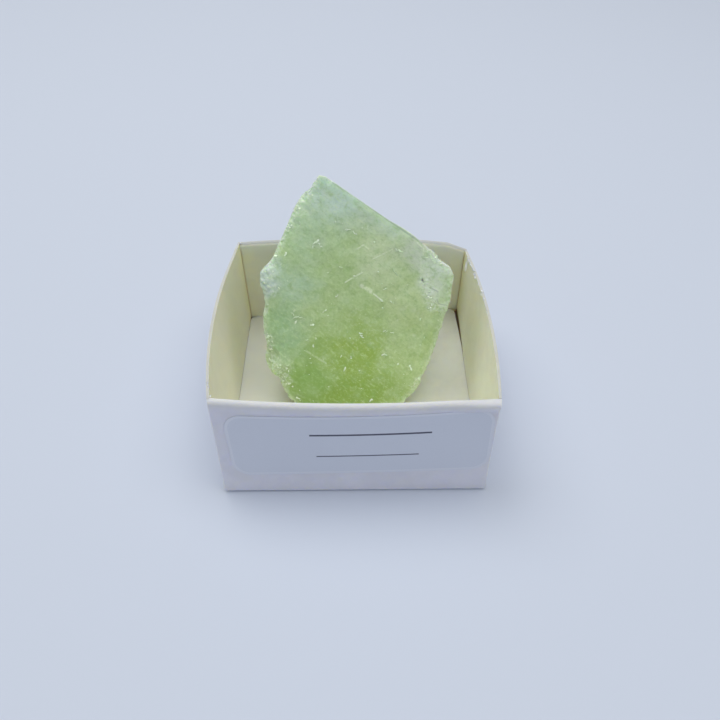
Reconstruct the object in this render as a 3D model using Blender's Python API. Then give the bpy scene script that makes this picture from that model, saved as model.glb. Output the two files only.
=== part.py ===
"""A leaning piece of green calcite in a small folded card tray with a blank paper label.

The origin is the middle of the tray's underside, on the surface that the tray stands on.
+X is to the right along the labelled front wall, +Y goes to the back and +Z is up.
"""

import math

import bmesh
import bpy
from mathutils import Matrix, Vector, noise

MM = 0.001

# Card tray: a square folded box, open at the top
TRAY_SIDE = 40.0 * MM
WALL_HEIGHT = 18.0 * MM
CARD_THICKNESS = 0.45 * MM
FOLDED_THICKNESS = 0.95 * MM
FOLD_ROUNDING = 0.40 * MM
SLIT_WIDTH = 0.35 * MM
SLIT_DEPTH = 0.40 * MM
SLIT_BITE = 0.05 * MM
CARD_SLICE = 2.5 * MM
WALL_SLICE = 3.0 * MM

# How far each top corner has moved from above its bottom corner, in X and Y
LEAN_FRONT_LEFT = Vector((-0.58, 2.49)) * MM
LEAN_FRONT_RIGHT = Vector((0.48, 2.26)) * MM
LEAN_BACK_LEFT = Vector((0.02, -0.69)) * MM
LEAN_BACK_RIGHT = Vector((-0.46, -2.51)) * MM

# How far the middle of each top edge bows outwards, past the line between its corners
BOW_LEFT = 1.85 * MM
BOW_RIGHT = 1.35 * MM
BOW_FRONT = 1.20 * MM
BOW_BACK = 1.70 * MM
BOW_POWER = 1.3

# Floor flap: the loose tongue of the rolled front wall, which lies on the floor
FLAP_SIDE = TRAY_SIDE / 2 - CARD_THICKNESS - 0.35 * MM
FLAP_BACK = TRAY_SIDE / 2 - FOLDED_THICKNESS - 0.45 * MM
FLAP_FRONT = -TRAY_SIDE / 2 + FOLDED_THICKNESS * 0.6
FLAP_CORNER = 1.3 * MM
FLAP_THICKNESS = 0.35 * MM
FLAP_HEIGHT = CARD_THICKNESS + 0.30 * MM + FLAP_THICKNESS / 2
FLAP_LIFT = 2.0 * MM
FLAP_LIFT_FROM = Vector((4.0, 2.0)) * MM

# Label on the front wall
LABEL_WIDTH = 38.5 * MM
LABEL_HEIGHT = 12.1 * MM
LABEL_CORNER = 2.7 * MM
LABEL_THICKNESS = 0.15 * MM
LABEL_GAP = 0.30 * MM
LABEL_MIDDLE = Vector((0.30, 10.15)) * MM
LABEL_TILT = math.radians(1.0)

# Stone, modelled lying on its back: X across, Y along it, Z out of its broken front face
STONE_LEAN = math.radians(62.0)
STONE_FOOT = Vector((0.0, -6.70, 0.90)) * MM
STONE_DEPTH = 17.0 * MM
STONE_OUTLINE = (
    (-5.3, 39.6),
    (-4.2, 39.4),
    (10.8, 29.2),
    (12.6, 27.9),
    (13.4, 26.5),
    (15.1, 25.4),
    (15.7, 24.0),
    (15.2, 21.5),
    (15.0, 18.6),
    (13.1, 12.4),
    (11.6, 8.2),
    (10.2, 5.6),
    (8.6, 3.6),
    (7.4, 1.0),
    (-8.6, 1.0),
    (-10.4, 4.2),
    (-11.0, 7.2),
    (-13.1, 9.0),
    (-14.1, 11.0),
    (-13.9, 15.5),
    (-13.8, 19.5),
    (-14.8, 22.8),
    (-14.4, 24.6),
    (-12.7, 26.8),
    (-11.6, 29.0),
    (-10.4, 31.6),
    (-9.2, 34.4),
    (-7.9, 36.4),
    (-6.8, 37.5),
    (-6.2, 38.8),
)

# Flat breaks that shape the stone: a point in each plane, in millimetres, and the way out of it
STONE_BREAKS = {
    "upper right cleavage": ((3.3, 34.3, 0.0), (0.56, 0.83, -0.27)),
    "upper back": ((0.0, 25.5, -14.78), (-0.08, 0.60, -0.80)),
    "lower back": ((0.0, 25.5, -14.78), (0.07, -0.25, -0.97)),
    "heel": ((0.0, 3.5, -5.0), (-0.10, -0.74, -0.67)),
    "sole": ((0.0, 3.5, -5.0), (0.06, -0.94, -0.32)),
    "upper left": ((-9.7, 34.7, -1.2), (-0.72, 0.42, -0.55)),
    "left back": ((-14.3, 20.0, -4.5), (-0.80, 0.10, -0.59)),
    "left side": ((-14.6, 22.0, -1.6), (-0.97, -0.05, -0.24)),
    "lower left": ((-12.6, 7.6, -2.4), (-0.80, -0.45, -0.40)),
    "right side": ((15.4, 23.0, -2.0), (0.96, 0.08, -0.26)),
    "right back": ((15.0, 20.0, -7.0), (0.74, -0.10, -0.67)),
    "lower right": ((12.4, 10.0, -1.2), (0.88, -0.32, -0.36)),
}

# Cleavage ledges, each one layer gone from a flat break: a point on the step's line and the way
# down the step, in millimetres, and the layer's thickness
STONE_LEDGES = (
    ("upper back", (5.0, 31.0, -10.0), (0.85, -0.50, 0.0), 0.55 * MM),
    ("upper back", (-3.0, 31.0, -10.0), (-0.94, 0.20, 0.0), 0.80 * MM),
    ("lower back", (3.0, 19.0, -14.0), (0.55, -0.83, 0.0), 0.60 * MM),
    ("lower back", (-3.0, 13.5, -13.0), (-0.55, -0.83, 0.0), 0.70 * MM),
    ("left back", (-10.0, 25.0, -9.0), (0.0, 0.55, -0.83), 0.60 * MM),
    ("right back", (12.0, 16.0, -10.0), (0.0, -0.80, -0.60), 0.65 * MM),
    ("upper right cleavage", (3.0, 34.0, -5.2), (0.20, 0.0, -0.98), 0.50 * MM),
    ("lower right", (11.0, 8.0, -4.5), (0.15, -0.10, -0.98), 0.45 * MM),
)

# The shoulder is a lower layer of the broken face, right of this edge
SHOULDER_OUTLINE = (
    (10.7, 32.0),
    (10.4, 25.0),
    (11.2, 22.5),
    (12.9, 19.9),
    (15.0, 18.2),
    (19.0, 17.5),
    (19.0, 32.0),
)
SHOULDER_DROP = 0.45 * MM

# Shell-shaped chips in the stone's edges: the middle of each round scoop and its radius, in mm
STONE_CHIPS = (
    ((-14.4, 10.4, 2.2), 3.5),
    ((11.4, 4.6, 2.0), 3.0),
    ((-7.6, 39.6, 1.6), 2.6),
    ((-13.4, 30.6, -5.0), 3.0),
    ((16.6, 15.0, -4.6), 3.2),
    ((2.0, 40.2, -8.6), 3.4),
    ((9.5, 25.0, -17.4), 4.2),
)

# Surface of the stone
STONE_SLICE = 1.7 * MM
STONE_WELD = 0.12 * MM
WORN_MARGIN = 2.4 * MM
WORN_DROP = 0.9 * MM
WORN_DEPTH = 4.5 * MM
SHARP_EDGE_NORMAL = Vector((0.56, 0.83))
SHARP_EDGE_REACH = 29.9 * MM
WAVES = (
    (7.0 * MM, 0.26 * MM, 11.0),
    (2.4 * MM, 0.12 * MM, 37.0),
)
LUMP_MIDDLE = Vector((-13.2, 24.0, -1.2)) * MM
LUMP_RADIUS = 3.0 * MM
LUMP_HEIGHT = 0.55 * MM

# Colours as linear values, with roughness
CARD_FINISH = ((0.80, 0.80, 0.70), 0.75)
LABEL_FINISH = ((0.86, 0.87, 0.90), 0.55)
CALCITE_FINISH = ((0.42, 0.62, 0.25), 0.35)


# Scene, materials and meshes


def clear_scene():
    for thing in list(bpy.data.objects):
        bpy.data.objects.remove(thing, do_unlink=True)


def new_collection(name):
    collection = bpy.data.collections.new(name)
    bpy.context.scene.collection.children.link(collection)
    return collection


def finish_material(name, finish):
    colour, roughness = finish
    material = bpy.data.materials.new(name)
    material.use_nodes = True
    shader = material.node_tree.nodes["Principled BSDF"]
    shader.inputs["Base Color"].default_value = (*colour, 1.0)
    shader.inputs["Roughness"].default_value = roughness
    shader.inputs["Metallic"].default_value = 0.0
    material.diffuse_color = (*colour, 1.0)
    return material


def object_from_mesh(name, mesh, collection):
    thing = bpy.data.objects.new(name, mesh)
    collection.objects.link(thing)
    return thing


def object_from_bmesh(name, bm, collection):
    mesh = bpy.data.meshes.new(name)
    bm.to_mesh(mesh)
    bm.free()
    return object_from_mesh(name, mesh, collection)


def box(name, low, high, collection):
    bm = bmesh.new()
    bmesh.ops.create_cube(bm, size=1.0)
    size = Vector(high) - Vector(low)
    bmesh.ops.scale(bm, vec=size, verts=bm.verts)
    bmesh.ops.translate(bm, vec=Vector(low) + size / 2, verts=bm.verts)
    return object_from_bmesh(name, bm, collection)


def settle_mesh(thing):
    """Replace an object's mesh, or curve, by what its modifiers make of it."""
    bpy.context.view_layer.update()
    evaluated = thing.evaluated_get(bpy.context.evaluated_depsgraph_get())
    mesh = bpy.data.meshes.new_from_object(evaluated)
    if thing.type == "CURVE":
        name = thing.name
        settled = object_from_mesh(name, mesh, thing.users_collection[0])
        settled.matrix_world = thing.matrix_world
        bpy.data.objects.remove(thing, do_unlink=True)
        settled.name = name
    else:
        settled = thing
        settled.modifiers.clear()
        settled.data = mesh
    return settled


def cut_or_join(thing, tool, operation):
    modifier = thing.modifiers.new(operation.lower(), "BOOLEAN")
    modifier.operation = operation
    modifier.solver = "EXACT"
    modifier.object = tool
    settle_mesh(thing)


def as_cutter(thing):
    thing.hide_render = True
    thing.display_type = "WIRE"
    return thing


def slice_into_strips(bm, axis, low, high, step):
    """Add edges across a mesh at even steps between two places, so that it can bend."""
    normal = Vector((0, 0, 0))
    normal[axis] = 1.0
    for index in range(1, math.ceil((high - low) / step - 0.01)):
        everything = list(bm.verts) + list(bm.edges) + list(bm.faces)
        place = normal * (low + step * index)
        bmesh.ops.bisect_plane(bm, geom=everything, plane_co=place, plane_no=normal)


def edit_mesh(thing, edit):
    bm = bmesh.new()
    bm.from_mesh(thing.data)
    edit(bm)
    bm.to_mesh(thing.data)
    bm.free()


def flat_outline(name, points, thickness, collection):
    """Make a closed plate from a flat outline, lying in XY about its own middle plane."""
    curve = bpy.data.curves.new(name, "CURVE")
    curve.dimensions = "2D"
    curve.fill_mode = "BOTH"
    curve.extrude = thickness / 2
    spline = curve.splines.new("POLY")
    spline.points.add(len(points) - 1)
    for spot, (x, y) in zip(spline.points, points):
        spot.co = (x, y, 0.0, 1.0)
    spline.use_cyclic_u = True
    plate = settle_mesh(object_from_mesh(name, curve, collection))

    def weld(bm):
        bmesh.ops.remove_doubles(bm, verts=bm.verts, dist=0.005 * MM)
        flat = {"angle_limit": math.radians(0.5), "verts": bm.verts, "edges": bm.edges}
        bmesh.ops.dissolve_limit(bm, **flat)
        bmesh.ops.recalc_face_normals(bm, faces=bm.faces)

    edit_mesh(plate, weld)
    return plate


def corner_arc(middle, radius, start, steps=5):
    """Points of a quarter circle, anticlockwise from the start angle."""
    points = []
    for index in range(steps + 1):
        angle = start + math.pi / 2 * index / steps
        points.append((middle[0] + radius * math.cos(angle), middle[1] + radius * math.sin(angle)))
    return points


def smooth_step(value, low, high):
    share = min(max((value - low) / (high - low), 0.0), 1.0)
    return share * share * (3.0 - 2.0 * share)


# Card tray


def bent(point):
    """Where a point of the straight box lies once the walls have leaned and bowed."""
    x = point.x / (TRAY_SIDE / 2)
    y = point.y / (TRAY_SIDE / 2)
    rise = max(point.z / WALL_HEIGHT, 0.0)
    front = LEAN_FRONT_LEFT.lerp(LEAN_FRONT_RIGHT, (x + 1) / 2)
    back = LEAN_BACK_LEFT.lerp(LEAN_BACK_RIGHT, (x + 1) / 2)
    lean = front.lerp(back, (y + 1) / 2) * rise
    bow_x = (BOW_RIGHT if x > 0 else BOW_LEFT) * x * (1 - y * y)
    bow_y = (BOW_BACK if y > 0 else BOW_FRONT) * y * (1 - x * x)
    bulge = Vector((bow_x, bow_y)) * rise**BOW_POWER
    return point + Vector((lean.x + bulge.x, lean.y + bulge.y, 0.0))


def tray_cutters(cutters):
    """The hollow, and the open slits where the side walls end at the back wall."""
    half = TRAY_SIDE / 2
    inner_x = half - CARD_THICKNESS
    inner_y = half - FOLDED_THICKNESS
    above = WALL_HEIGHT + 2 * MM
    boxes = [box("hollow", (-inner_x, -inner_y, CARD_THICKNESS), (inner_x, inner_y, above), cutters)]
    for side in (-1, 1):
        edges = sorted((side * (inner_x + SLIT_BITE), side * (inner_x - SLIT_WIDTH)))
        low = (edges[0], inner_y - SLIT_DEPTH, CARD_THICKNESS * 2)
        high = (edges[1], inner_y + SLIT_DEPTH, above)
        boxes.append(box("corner slit", low, high, cutters))
    return [as_cutter(cutter) for cutter in boxes]


def round_folded_tops(bm):
    """Round the long top edges of the front and back walls, where the card is rolled over."""
    edges = []
    for edge in bm.edges:
        first, second = edge.verts
        along_x = abs(first.co.y - second.co.y) < 0.01 * MM and edge.calc_length() > TRAY_SIDE / 2
        at_top = min(first.co.z, second.co.z) > WALL_HEIGHT - 0.01 * MM
        if along_x and at_top:
            edges.append(edge)
    bmesh.ops.bevel(bm, geom=edges, offset=FOLD_ROUNDING, segments=3, profile=0.5, affect="EDGES")


def slice_card(bm):
    half = TRAY_SIDE / 2
    for axis in range(2):
        slice_into_strips(bm, axis, -half, half, CARD_SLICE)
    slice_into_strips(bm, 2, 0.0, WALL_HEIGHT, WALL_SLICE)
    bmesh.ops.remove_doubles(bm, verts=bm.verts, dist=0.005 * MM)


def floor_flap(collection):
    """The loose tongue of the front wall's inner layer, flat above the floor."""
    corner = FLAP_CORNER
    outline = [(-FLAP_SIDE, FLAP_FRONT), (FLAP_SIDE, FLAP_FRONT)]
    outline += corner_arc((FLAP_SIDE - corner, FLAP_BACK - corner), corner, 0.0)
    outline += corner_arc((corner - FLAP_SIDE, FLAP_BACK - corner), corner, math.pi / 2)
    flap = flat_outline("floor flap", outline, FLAP_THICKNESS, collection)
    for vertex in flap.data.vertices:
        vertex.co.z += FLAP_HEIGHT
    return as_cutter(flap)


def lifted(point):
    """The flap has sprung up towards the back right corner, and nothing else has."""
    beyond = 0.1 * MM
    on_flap = abs(point.z - FLAP_HEIGHT) < FLAP_THICKNESS / 2 + beyond
    inside = abs(point.x) < FLAP_SIDE + beyond and point.y < FLAP_BACK + beyond
    if not (on_flap and inside):
        return point
    across = smooth_step(point.x, FLAP_LIFT_FROM.x, FLAP_SIDE)
    along = smooth_step(point.y, FLAP_LIFT_FROM.y, FLAP_BACK)
    return point + Vector((0.0, 0.0, FLAP_LIFT * across * along))


def card_tray(collection, cutters):
    half = TRAY_SIDE / 2
    tray = box("card_tray", (-half, -half, 0.0), (half, half, WALL_HEIGHT), collection)
    for cutter in tray_cutters(cutters):
        cut_or_join(tray, cutter, "DIFFERENCE")
    edit_mesh(tray, round_folded_tops)
    cut_or_join(tray, floor_flap(cutters), "UNION")
    edit_mesh(tray, slice_card)
    for vertex in tray.data.vertices:
        vertex.co = bent(lifted(vertex.co))
    tray.data.materials.clear()
    tray.data.materials.append(finish_material("cream and white card", CARD_FINISH))
    return tray


# Label


def label(collection):
    """A blank sticker that follows the bow of the front wall."""
    half_width = LABEL_WIDTH / 2
    half_height = LABEL_HEIGHT / 2
    reach_x = half_width - LABEL_CORNER
    reach_z = half_height - LABEL_CORNER
    outline = []
    for turn, (side, end) in enumerate(((1, 1), (-1, 1), (-1, -1), (1, -1))):
        outline += corner_arc((side * reach_x, end * reach_z), LABEL_CORNER, turn * math.pi / 2)
    sticker = flat_outline("label", outline, LABEL_THICKNESS, collection)

    def stand_up(bm):
        slice_into_strips(bm, 0, -half_width, half_width, CARD_SLICE)
        tilt = Matrix.Rotation(LABEL_TILT, 4, "Z")
        upright = Matrix.Rotation(math.pi / 2, 4, "X")
        stand_off = -TRAY_SIDE / 2 - LABEL_GAP - LABEL_THICKNESS / 2
        place = Matrix.Translation((LABEL_MIDDLE.x, stand_off, LABEL_MIDDLE.y))
        bmesh.ops.transform(bm, matrix=place @ upright @ tilt, verts=bm.verts)

    edit_mesh(sticker, stand_up)
    for vertex in sticker.data.vertices:
        vertex.co = bent(vertex.co)
    sticker.data.materials.append(finish_material("label paper", LABEL_FINISH))
    return sticker


# Stone


def break_stone(bm):
    """Cut the slab along each flat break and close the cut."""
    for middle, outwards in STONE_BREAKS.values():
        everything = list(bm.verts) + list(bm.edges) + list(bm.faces)
        normal = Vector(outwards).normalized()
        cut = bmesh.ops.bisect_plane(
            bm, geom=everything, plane_co=Vector(middle) * MM, plane_no=normal, clear_outer=True
        )
        rim = [item for item in cut["geom_cut"] if isinstance(item, bmesh.types.BMEdge)]
        bmesh.ops.edgenet_fill(bm, edges=rim)
    bmesh.ops.recalc_face_normals(bm, faces=bm.faces)


def distance_to_line(spot, start, end):
    along = end - start
    share = min(max((spot - start).dot(along) / along.length_squared, 0.0), 1.0)
    return (spot - start - along * share).length


def distance_to_path(spot, path):
    return min(distance_to_line(spot, start, end) for start, end in zip(path, path[1:]))


def as_points(pairs):
    return [Vector(pair) * MM for pair in pairs]


def ledge_cutter(ledge, cutters):
    """A block that takes one layer off a flat break, beyond the line of a step."""
    break_name, step, downwards, layer = ledge
    middle, outwards = STONE_BREAKS[break_name]
    middle = Vector(middle) * MM
    normal = Vector(outwards).normalized()
    step = Vector(step) * MM
    corner = step - normal * (step - middle).dot(normal)
    down = Vector(downwards)
    down = (down - normal * down.dot(normal)).normalized()
    along = normal.cross(down)
    reach = 40.0 * MM
    cutter = box("ledge", (0.0, -reach, -layer), (reach, reach, reach), cutters)
    turn = Matrix((down, along, normal)).transposed().to_4x4()
    cutter.matrix_world = Matrix.Translation(corner) @ turn
    return as_cutter(cutter)


def chip_cutter(chip, cutters):
    """A round scoop, for a shell-shaped chip."""
    middle, radius = chip
    bm = bmesh.new()
    bmesh.ops.create_icosphere(bm, subdivisions=3, radius=radius * MM)
    cutter = object_from_bmesh("chip", bm, cutters)
    cutter.location = Vector(middle) * MM
    return as_cutter(cutter)


def shoulder_cutter(cutters):
    points = [(x * MM, y * MM) for x, y in SHOULDER_OUTLINE]
    thickness = 4.0 * MM
    cutter = flat_outline("shoulder", points, thickness, cutters)
    cutter.location.z = thickness / 2 - SHOULDER_DROP
    return as_cutter(cutter)


def slice_stone(bm):
    """Divide the stone's faces evenly, so that waves can roughen them."""
    corners = [vertex.co for vertex in bm.verts]
    for axis in range(3):
        low = min(corner[axis] for corner in corners)
        high = max(corner[axis] for corner in corners)
        slice_into_strips(bm, axis, low, high, STONE_SLICE)
    bmesh.ops.triangulate(bm, faces=bm.faces)
    bmesh.ops.remove_doubles(bm, verts=bm.verts, dist=STONE_WELD)


def wear(thing):
    """Round the stone's margins, swell its lump and roughen it all over."""
    outline = as_points(STONE_OUTLINE + STONE_OUTLINE[:1])
    for vertex in thing.data.vertices:
        spot = vertex.co.copy()
        flat = spot.xy
        on_face = smooth_step(spot.z, -WORN_DEPTH, 0.0)
        from_sharp_edge = SHARP_EDGE_REACH - flat.dot(SHARP_EDGE_NORMAL)
        worn = smooth_step(from_sharp_edge, 0.6 * MM, 4.0 * MM)
        margin = max(1.0 - distance_to_path(flat, outline) / WORN_MARGIN, 0.0)
        drop = WORN_DROP * margin * margin * worn * on_face
        from_lump = (spot - LUMP_MIDDLE).length
        swell = LUMP_HEIGHT * (1.0 - smooth_step(from_lump, 0.0, LUMP_RADIUS))
        moved = Vector((-swell, 0.0, -drop))
        calm = 0.2 + 0.8 * worn
        for length, height, seed in WAVES:
            moved += noise.noise_vector(spot / length + Vector((seed, seed, seed))) * height * calm
        vertex.co = spot + moved


def calcite(collection, cutters):
    """One natural piece: a broken slab of green calcite, thick at its middle."""
    points = [(x * MM, y * MM) for x, y in STONE_OUTLINE]
    stone = flat_outline("calcite", points, STONE_DEPTH, collection)
    for vertex in stone.data.vertices:
        vertex.co.z -= STONE_DEPTH / 2
    edit_mesh(stone, break_stone)
    for ledge in STONE_LEDGES:
        cut_or_join(stone, ledge_cutter(ledge, cutters), "DIFFERENCE")
    cut_or_join(stone, shoulder_cutter(cutters), "DIFFERENCE")
    for chip in STONE_CHIPS:
        cut_or_join(stone, chip_cutter(chip, cutters), "DIFFERENCE")
    edit_mesh(stone, slice_stone)
    wear(stone)
    stone.rotation_euler.x = STONE_LEAN
    stone.location = STONE_FOOT
    stone.data.materials.clear()
    stone.data.materials.append(finish_material("cloudy green calcite", CALCITE_FINISH))
    return stone


def main():
    clear_scene()
    specimen = new_collection("calcite specimen")
    cutters = new_collection("cutters")
    card_tray(specimen, cutters)
    label(specimen)
    calcite(specimen, cutters)


main()
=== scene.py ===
"""The finished looks of a green calcite specimen that leans in a small folded card tray.

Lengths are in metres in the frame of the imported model: +X to the right along the labelled
front wall, +Y to the back, +Z up. Values written with MM are in millimetres.
"""

import math
import random

import bmesh
import bpy
from bpy.props import FloatProperty, FloatVectorProperty, IntProperty, PointerProperty
from mathutils import Euler, Matrix, Vector, noise
from mathutils.bvhtree import BVHTree
from mathutils.kdtree import KDTree


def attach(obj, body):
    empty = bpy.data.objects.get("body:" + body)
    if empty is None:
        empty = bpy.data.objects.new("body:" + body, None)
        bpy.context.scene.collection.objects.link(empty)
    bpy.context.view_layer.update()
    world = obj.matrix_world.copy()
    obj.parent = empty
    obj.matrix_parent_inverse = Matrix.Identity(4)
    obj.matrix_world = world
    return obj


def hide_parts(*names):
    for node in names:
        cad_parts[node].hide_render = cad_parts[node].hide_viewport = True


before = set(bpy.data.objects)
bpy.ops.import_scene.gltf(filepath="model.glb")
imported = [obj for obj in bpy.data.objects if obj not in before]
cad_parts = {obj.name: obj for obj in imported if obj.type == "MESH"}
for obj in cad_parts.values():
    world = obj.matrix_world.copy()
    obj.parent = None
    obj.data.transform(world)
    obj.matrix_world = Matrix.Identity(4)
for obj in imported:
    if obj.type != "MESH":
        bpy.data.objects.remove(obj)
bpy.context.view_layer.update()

bl_info = {
    "name": "Calcite specimen in a card tray",
    "version": (1, 0, 0),
    "blender": (4, 5, 0),
    "location": "View3D > Sidebar > Calcite",
    "description": "Builds a leaning piece of green calcite, its folded card tray, label and stage",
    "category": "Add Mesh",
}

MM = 0.001

# The straight tray, before its walls lean and bow
TRAY_SIDE = 40.0 * MM
WALL_HEIGHT = 18.0 * MM
HALF = TRAY_SIDE / 2
LEAN_FRONT_LEFT = Vector((-0.58, 2.49)) * MM
LEAN_FRONT_RIGHT = Vector((0.48, 2.26)) * MM
LEAN_BACK_LEFT = Vector((0.02, -0.69)) * MM
LEAN_BACK_RIGHT = Vector((-0.46, -2.51)) * MM
BOW_LEFT = 1.85 * MM
BOW_RIGHT = 1.35 * MM
BOW_FRONT = 1.20 * MM
BOW_BACK = 1.70 * MM
BOW_POWER = 1.3

# The rolled front and back walls: thickness, radius of the roll, where it starts and what lies under it
ROLLED_THICKNESS = 0.95 * MM
ROLL_RADIUS = 0.40 * MM
ROLL_SHOULDER = 1.9 * MM
ROLL_BOTTOM = WALL_HEIGHT - ROLL_SHOULDER * 1.2
# Half the width of the inner layers, and the loose flap that lies on the floor and is sprung up
INNER_SIDE = 19.59 * MM
FLAP_BACK = 19.03 * MM
FLAP_MIDDLE_HEIGHT = 0.925 * MM
FLAP_CORNER = 1.3 * MM
FLAP_LIFT = 2.0 * MM
FLAP_LIFT_FROM = Vector((4.0, 2.0)) * MM
FLAP_LIFT_RIGHT = 19.2 * MM
FLAP_DRAWN_IN = 0.55 * MM
FLAP_DRAWN_FROM = 7.0 * MM
# Height up to which the back wall's inner layer follows the flap
BACK_FOOT = 9.0 * MM
# How much higher the back wall's top stands at its left and at its right, and where that grows and ends
BACK_SWELL = Vector((0.38, 0.95)) * MM
BACK_SWELL_GROWS = (0.0, 12.0 * MM)
BACK_SWELL_ENDS = (17.0 * MM, 19.6 * MM)
BACK_SWELL_DEPTH = (15.0 * MM, 18.8 * MM)
# The base stands clear of the table inside its walls, and the front wall's foot stands forward
BASE_RISE = 0.22 * MM
FRONT_FOOT = 0.32 * MM
FRONT_FOOT_HEIGHT = 4.0 * MM

# Where the slab of stone stands: its own X runs across, Y up its face, Z out of its face
STONE_LEAN = math.radians(62.0)
STONE_FOOT = Vector((0.0, -6.70, 0.90)) * MM
SLAB_TO_ROW = Matrix.Translation(STONE_FOOT) @ Matrix.Rotation(STONE_LEAN, 4, "X")

# The camera looks down at the front of the tray
CAMERA_PLACE = Vector((-0.20, -83.99, 93.11)) * MM
CAMERA_TURN = Euler((math.radians(44.702), math.radians(-0.106), math.radians(-0.687)))
CAMERA_LENS = 35.99
CAMERA_SENSOR = 36.0
CAMERA_NEAR = 1.0 * MM

# Faces that meet at less than this angle are shaded as one
SMOOTH_ANGLE = math.radians(40.0)
# How strongly calcite bends light
CALCITE_IOR = 1.58
# Points nearer than this are one
SAME_PLACE = 0.001 * MM


# Settings


def length_prop(name, description, default):
    """A setting in metres."""
    return FloatProperty(name=name, description=description, default=default, unit="LENGTH")


def colour_prop(name, description, default):
    """A colour setting."""
    return FloatVectorProperty(name=name, description=description, default=default, subtype="COLOR")


class StoneSettings(bpy.types.PropertyGroup):
    cuts: IntProperty(name="Cuts", description="Cuts across each coarse face", default=3)
    ripple: length_prop("Ripple", "Height of the shallow waves on the broken face", 0.10 * MM)
    ledge: length_prop("Ledge", "Height of the small cleavage ledges in the crushed places", 0.16 * MM)
    ragged: length_prop("Ragged", "Depth of the small breaks along the rim of the face", 0.16 * MM)
    green: colour_prop("Green", "Colour of the clear body of the stone", (0.53, 0.70, 0.34))


class ChipSettings(bpy.types.PropertyGroup):
    dust: IntProperty(name="Dust", description="Number of small chips over the face", default=80)
    crumbs: FloatProperty(
        name="Crumbs", description="Crumbs on each millimetre of the crushed edges", default=5.0
    )
    # The chips' bright colours are partly their own whitish colour and partly painted glints
    dim: colour_prop("Dim", "Colour of the dimmer parts of the chips", (0.74, 0.93, 0.62))
    bright: colour_prop("Bright", "Colour of the brighter parts of the chips", (0.91, 1.0, 0.83))


class TraySettings(bpy.types.PropertyGroup):
    card: length_prop("Card", "Thickness of the card", 0.40 * MM)
    white: colour_prop("White side", "Colour of the white outer side of the card", (0.75, 0.755, 0.83))
    cream: colour_prop("Cream side", "Colour of the cream inner side of the card", (0.96, 0.93, 0.79))
    flap: colour_prop("Floor flap", "Colour of the upper side of the floor flap", (0.92, 0.91, 0.82))
    edge: colour_prop("Raw edge", "Colour of the card's cut edges", (0.60, 0.60, 0.56))


class ScrapSettings(bpy.types.PropertyGroup):
    fibres: IntProperty(
        name="Fibres", description="Number of torn fibres along the right wall's top", default=26
    )
    card: colour_prop("Torn card", "Colour of the torn bits", (0.92, 0.92, 0.90))


class LabelSettings(bpy.types.PropertyGroup):
    width: length_prop("Width", "Width of the sticker", 38.0 * MM)
    height: length_prop("Height", "Height of the sticker", 12.1 * MM)
    corner: length_prop("Corner", "Radius of its corners", 2.7 * MM)
    thickness: length_prop("Thickness", "Thickness of its paper", 0.06 * MM)
    paper: colour_prop("Paper", "Colour of the sticker's paper", (0.65, 0.69, 0.79))
    # The lip's paler colour is a painted highlight along the sticker's edge
    border: colour_prop("Border", "Colour of the lip round the sticker", (0.71, 0.74, 0.83))
    ink: colour_prop("Ink", "Colour of the two ruled lines", (0.03, 0.03, 0.07))


class StageSettings(bpy.types.PropertyGroup):
    floor: colour_prop("Floor", "Colour of the floor", (0.61, 0.66, 0.76))
    key: FloatProperty(
        name="Key light",
        description="Power of the soft light at the back left",
        default=1.00,
        unit="POWER",
    )
    fill: FloatProperty(
        name="Fill lights", description="Power of the three fills beside the key", default=1.0
    )
    sky: FloatProperty(
        name="Sky", description="Strength of the light from all round", default=0.31
    )


# Objects and modifiers


def activate(thing):
    """Select one object alone, in object mode."""
    if bpy.context.object and bpy.context.object.mode != "OBJECT":
        bpy.ops.object.mode_set(mode="OBJECT")
    bpy.ops.object.select_all(action="DESELECT")
    thing.select_set(True)
    bpy.context.view_layer.objects.active = thing


def add_object(name, data):
    """A new object in the scene."""
    thing = bpy.data.objects.new(name, data)
    bpy.context.scene.collection.objects.link(thing)
    return thing


def add_plane(name, size):
    """A square plane, alone in the selection."""
    bpy.ops.object.select_all(action="DESELECT")
    bpy.ops.mesh.primitive_plane_add(size=size)
    plane = bpy.context.object
    plane.name = name
    plane.data.name = name
    return plane


def finished_mesh(name, bm):
    """A mesh made of what has been gathered in a BMesh, which is freed."""
    mesh = bpy.data.meshes.new(name)
    bm.to_mesh(mesh)
    bm.free()
    return mesh


def apply_modifier(thing, kind, **settings):
    """Add a modifier with the given settings and apply it."""
    activate(thing)
    modifier = thing.modifiers.new(kind.title(), kind)
    for name, value in settings.items():
        setattr(modifier, name, value)
    bpy.ops.object.modifier_apply(modifier=modifier.name)


def edit(thing):
    """Enter edit mode on one object."""
    activate(thing)
    bpy.ops.object.mode_set(mode="EDIT")
    bpy.ops.mesh.select_mode(type="VERT")


def leave_edit():
    bpy.ops.object.mode_set(mode="OBJECT")


def select(thing, part, wanted):
    """In edit mode, select the vertices, edges or faces that pass a test."""
    bpy.ops.mesh.select_mode(type={"verts": "VERT", "edges": "EDGE", "faces": "FACE"}[part])
    bpy.ops.mesh.select_all(action="DESELECT")
    bm = bmesh.from_edit_mesh(thing.data)
    for item in getattr(bm, part):
        if wanted(item):
            item.select_set(True)
    bm.select_flush_mode()
    bmesh.update_edit_mesh(thing.data)


def tidy_mesh(thing):
    """Merge doubles and turn every face outwards."""
    edit(thing)
    bpy.ops.mesh.select_all(action="SELECT")
    bpy.ops.mesh.remove_doubles(threshold=SAME_PLACE)
    bpy.ops.mesh.normals_make_consistent(inside=False)
    leave_edit()


def keep(thing, name, values):
    """Keep one number for each point of a mesh, for its material to read."""
    layer = thing.data.attributes.new(name, "FLOAT", "POINT")
    layer.data.foreach_set("value", values)


def shade_smooth(thing):
    """Shade an object as smooth, but for its sharp edges."""
    activate(thing)
    bpy.ops.object.shade_smooth_by_angle(angle=SMOOTH_ANGLE)


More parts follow.
